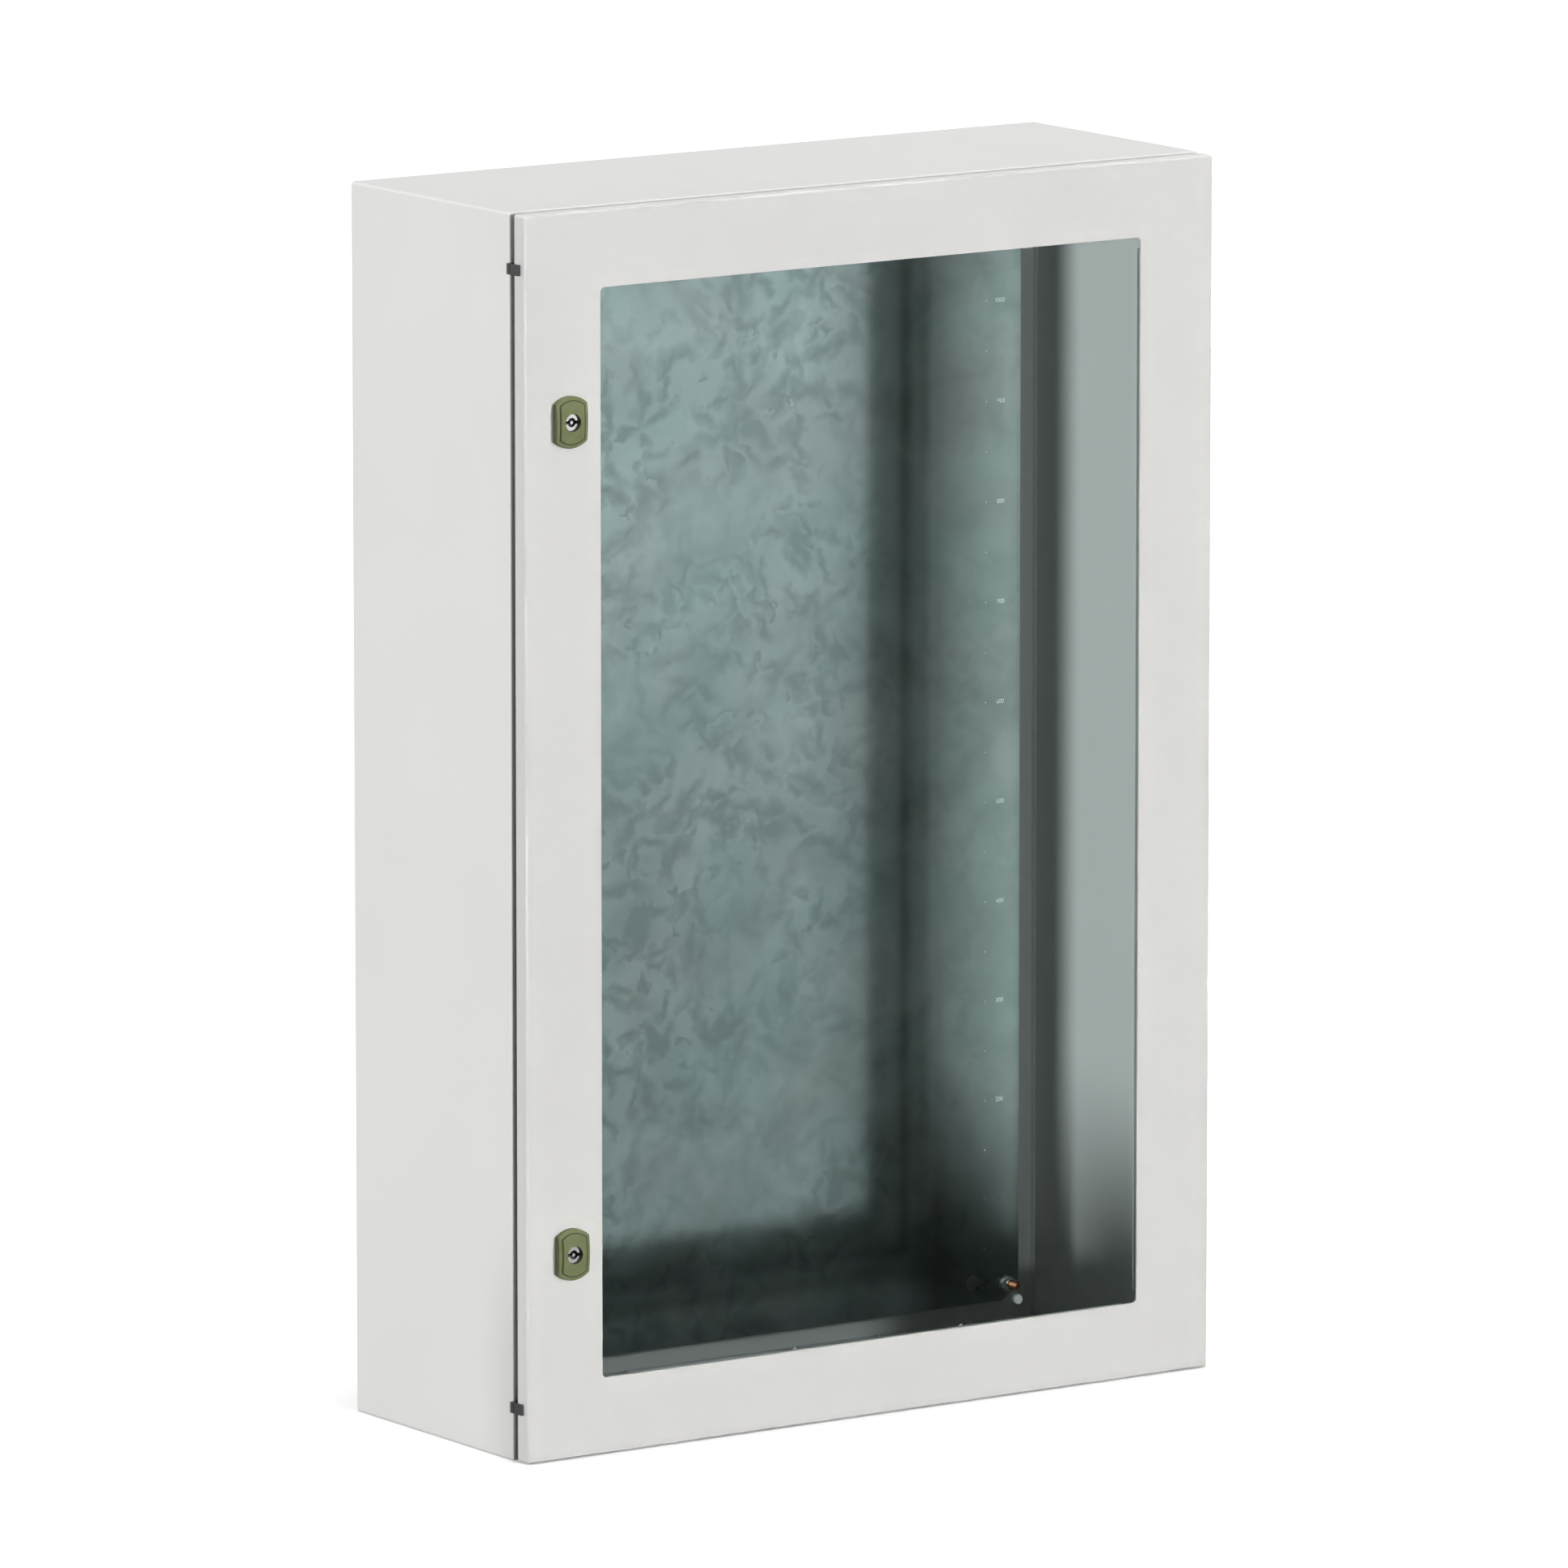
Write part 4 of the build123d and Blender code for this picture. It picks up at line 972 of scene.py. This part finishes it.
def olive_moulding():
    """Glass-filled nylon: olive, satin, with a spark-eroded grain, and painted shade in its recesses."""
    finish, tree, shader, place = new_finish("olive_moulding")
    flow = noise(tree, place, 90.0, detail=3.0)
    grain = noise(tree, place, 1800.0)
    tree.links.new(tones(tree, flow, *olive_tones), shader.inputs["Base Color"])
    # Painted shade: the groove and mouth of each lock head are darkened.
    scale_colour(tree, shader, spread(tree, lock_recesses(tree, place), 1.0, recess_painted_shade, 0.0, 1.0))
    tree.links.new(spread(tree, grain, 0.36, 0.48), shader.inputs["Roughness"])
    relief(tree, grain, 0.0001, 0.4, shader)
    return finish


def depth_shaded_casting(face_y):
    """Nickelled casting: bright on its face, with painted shade behind it and deeper painted shade in its
    slot.
    """
    finish = plated("nickelled_casting", (0.9, 0.9, 0.88), 0.12, 0.22)
    tree = finish.node_tree
    shader = tree.nodes["Principled BSDF"]
    _, height, back = from_lock(tree, tree.nodes["Texture Coordinate"].outputs["Object"])
    behind = spread(tree, work_out(tree, "SUBTRACT", back, face_y), 0.0, 1.0, depth_shade_start, depth_shade_end)
    slot = work_out(tree, "MULTIPLY", work_out(tree, "LESS_THAN", height, slot_half_height), behind)
    # Painted shade: the insert darkens behind its face, and more in its slot.
    scale_colour(tree, shader, spread(tree, behind, 1.0, depth_shade_tone, 0.0, 1.0))
    scale_colour(tree, shader, spread(tree, slot, 1.0, slot_shade_tone, 0.0, 1.0))
    return finish


olive = olive_moulding()
insert_metal = depth_shaded_casting(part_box("upper_lock_insert")[0].y)
for place_name in ("upper", "lower"):
    dress(olive, f"{place_name}_lock_housing")
    dress(black_rubber, f"{place_name}_lock_seal")
    dress(insert_metal, f"{place_name}_lock_insert")
    dress(zinc, f"{place_name}_lock_nut", f"{place_name}_lock_cam", f"{place_name}_cam_screw")


# Floor, light and camera
# A plain white floor and backdrop under soft studio lamps, seen from the front left through a long lens. Both
# are dimmer for light that has bounced, which keeps the inside of the box dark. Flags hold the key lamp off.
floor_half = 40.0
floor_level = cad_low.z
floor_mesh = bpy.data.meshes.new("studio_floor")
floor_corners = [
    (-floor_half, -floor_half, floor_level),
    (floor_half, -floor_half, floor_level),
    (floor_half, floor_half, floor_level),
    (-floor_half, floor_half, floor_level),
]
floor_mesh.from_pydata(floor_corners, [], [(0, 1, 2, 3)])
floor = new_piece("studio_floor", floor_mesh)
floor_finish, floor_tree, floor_shader, floor_place = new_finish("studio_floor")
floor_white = 0.97
floor_lift = 0.34
floor_near = 1.2
floor_far = 7.0
# Painted shade on the floor near the box, for every ray but the camera's: how dark it is closest in.
floor_near_shade_tone = 0.55
floor_bounce_loss = 0.7
floor_least = 0.2
floor_rays = floor_tree.nodes.new("ShaderNodeLightPath").outputs
floor_reach = floor_tree.nodes.new("ShaderNodeVectorMath")
floor_reach.operation = "LENGTH"
floor_tree.links.new(floor_place, floor_reach.inputs[0])
floor_out = floor_reach.outputs["Value"]
# Painted shade: rays other than the camera's see the floor darker near the box, full tone farther off.
floor_near_shade = spread(floor_tree, floor_out, floor_near_shade_tone, 1.0, floor_near, floor_far)
floor_bounced = work_out(floor_tree, "GREATER_THAN", floor_rays["Diffuse Depth"], 0.5)
floor_dim = work_out(floor_tree, "MULTIPLY", floor_bounced, floor_bounce_loss)
floor_remainder = work_out(floor_tree, "SUBTRACT", floor_near_shade, floor_dim)
floor_other = work_out(floor_tree, "MAXIMUM", floor_remainder, floor_least)
floor_seen = work_out(floor_tree, "MULTIPLY", floor_rays["Is Camera Ray"], floor_white)
floor_tone = work_out(floor_tree, "MAXIMUM", floor_other, floor_seen)
floor_glow = work_out(floor_tree, "MULTIPLY", floor_rays["Is Camera Ray"], floor_lift)
floor_tree.links.new(floor_tone, floor_shader.inputs["Base Color"])
floor_shader.inputs["Emission Color"].default_value = (1, 1, 1, 1)
floor_tree.links.new(floor_glow, floor_shader.inputs["Emission Strength"])
floor_shader.inputs["Roughness"].default_value = 0.9
floor_shader.inputs["Specular IOR Level"].default_value = 0.0
floor_mesh.materials.append(floor_finish)
floor.visible_shadow = False

world = bpy.data.worlds.new("studio")
bpy.context.scene.world = world
world.use_nodes = True
sky = world.node_tree
ambient = sky.nodes["Background"]
ambient.inputs["Color"].default_value = (1, 1, 1, 1)
ambient.inputs["Strength"].default_value = 0.06
white = sky.nodes.new("ShaderNodeBackground")
white.inputs["Color"].default_value = (1, 1, 1, 1)
white.inputs["Strength"].default_value = 1.0
rays = sky.nodes.new("ShaderNodeLightPath").outputs
seen = work_out(sky, "MAXIMUM", rays["Is Camera Ray"], rays["Is Glossy Ray"])
seen_through = work_out(sky, "MAXIMUM", seen, rays["Is Transmission Ray"])
unbounced = work_out(sky, "LESS_THAN", rays["Diffuse Depth"], 0.5)
backdrop = sky.nodes.new("ShaderNodeMixShader")
sky.links.new(work_out(sky, "MULTIPLY", seen_through, unbounced), backdrop.inputs[0])
sky.links.new(ambient.outputs[0], backdrop.inputs[1])
sky.links.new(white.outputs[0], backdrop.inputs[2])
sky.links.new(backdrop.outputs[0], sky.nodes["World Output"].inputs["Surface"])


def direction(azimuth, elevation):
    """Unit vector from the object towards a place seen at these angles; azimuth 0 is the front."""
    a = math.radians(azimuth)
    e = math.radians(elevation)
    return Vector((math.sin(a) * math.cos(e), -math.cos(a) * math.cos(e), math.sin(e)))


def lamp(name, azimuth, elevation, level, softness, glints=False):
    """A distant soft lamp. Level 1 lights a facing white surface to white."""
    data = bpy.data.lights.new(name, "SUN")
    data.energy = level * math.pi
    data.angle = math.radians(softness)
    light = bpy.data.objects.new(name, data)
    light.rotation_mode = "QUATERNION"
    light.rotation_quaternion = direction(azimuth, elevation).to_track_quat("Z", "Y")
    light.visible_glossy = glints
    bpy.context.scene.collection.objects.link(light)
    return light


def flag(name, corners):
    """A studio flag: keeps lamplight off, and is not seen itself."""
    mesh = bpy.data.meshes.new(name)
    mesh.from_pydata(corners, [], [(0, 1, 2, 3)])
    board = new_piece(name, mesh)
    board.visible_camera = False
    board.visible_diffuse = False
    board.visible_glossy = False
    board.visible_transmission = False
    return board


def linked(name, pieces, state):
    """A light-linking group that takes pieces in or leaves them out."""
    group = bpy.data.collections.new(name)
    for piece in pieces:
        group.objects.link(piece)
    for entry in group.collection_objects:
        entry.light_linking.link_state = state
    return group


key_azimuth = -71.4
key_softness = 3.2
key_towards = direction(key_azimuth, 0)
key_across = Vector((-key_towards.y, key_towards.x, 0))
flag_distance = 3.5
flag_middle = key_towards * flag_distance
flag_left = 0.16
flag_right = 0.8
flag_foot = -1.0
flag_top = -0.421
flag_corners = (
    (flag_left, flag_foot),
    (flag_right, flag_foot),
    (flag_right, flag_top),
    (flag_left, flag_top),
)
low_flag = flag(
    "low_flag",
    [flag_middle + key_across * across + Vector((0, 0, height)) for across, height in flag_corners],
)
gap_x = -0.399
gap_front = -0.281
gap_rear = -0.2752
gap_corners = (
    (gap_front, cad_low.z),
    (gap_rear, cad_low.z),
    (gap_rear, cad_high.z),
    (gap_front, cad_high.z),
)
flag("gap_flag", [(gap_x, y, z) for y, z in gap_corners])

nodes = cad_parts
off_key = []
for place_name in ("upper", "lower"):
    for part in ("lock_housing", "lock_insert", "lock_seal", "hinge_blank"):
        off_key.append(nodes[f"{place_name}_{part}"])
inside_key = lamp("key_into_window", key_azimuth, 0, 0.60, key_softness)
off_inside_key = off_key + [nodes["door_shell"]]
inside_key.light_linking.receiver_collection = linked("not_by_inside_key", off_inside_key, "EXCLUDE")
door_key = lamp("key_on_door", key_azimuth, 0, 0.51, key_softness)
door_key.light_linking.receiver_collection = linked("by_door_key", [nodes["door_shell"]], "INCLUDE")
door_key.light_linking.blocker_collection = linked("not_before_door_key", off_key + [low_flag], "EXCLUDE")
lamp("side_from_left", -105, 5, 0.26, 30, glints=True)
lamp("overhead", -20, 88, 0.58, 16, glints=True)
lamp("rear_right", 120, 15, 0.31, 40, glints=True)
lamp("front", 18, 4, 0.53, 8)
lamp("upper_front", 18, 20, 0.18, 12)
lamp("low_front", -16, -4, 0.15, 6)
for light, pieces in (
    (lamp("rim_light", -30, 4, 0.08, 3), [nodes["rear_panel"]]),
    (lamp("scale_light", -34, -12, 0.7, 3), [numerals, dots]),
    (lamp("bush_light", -20, 16, 0.55, 4), [nodes["wall_fixing_bushes"]]),
):
    light.light_linking.receiver_collection = linked(f"by_{light.name}", pieces, "INCLUDE")

camera_azimuth = -34.372
camera_elevation = 9.7635
camera_distance = 14.567
aim_depth = -0.15
shift_right = 0.001
shift_up = 0.0016
camera_data = bpy.data.cameras.new("camera")
camera_data.lens = 345.5
camera_data.sensor_width = 36.0
camera_data.clip_end = 200.0
camera = bpy.data.objects.new("camera", camera_data)
bpy.context.scene.collection.objects.link(camera)
towards_camera = direction(camera_azimuth, camera_elevation)
camera_right = Vector((0, 0, 1)).cross(towards_camera).normalized()
camera_up = towards_camera.cross(camera_right)
aim = Vector((0, aim_depth, 0)) - shift_right * camera_right - shift_up * camera_up
camera.location = aim + towards_camera * camera_distance
camera.rotation_mode = "QUATERNION"
camera.rotation_quaternion = towards_camera.to_track_quat("Z", "Y")
bpy.context.scene.camera = camera
bpy.context.scene.view_settings.view_transform = "Standard"
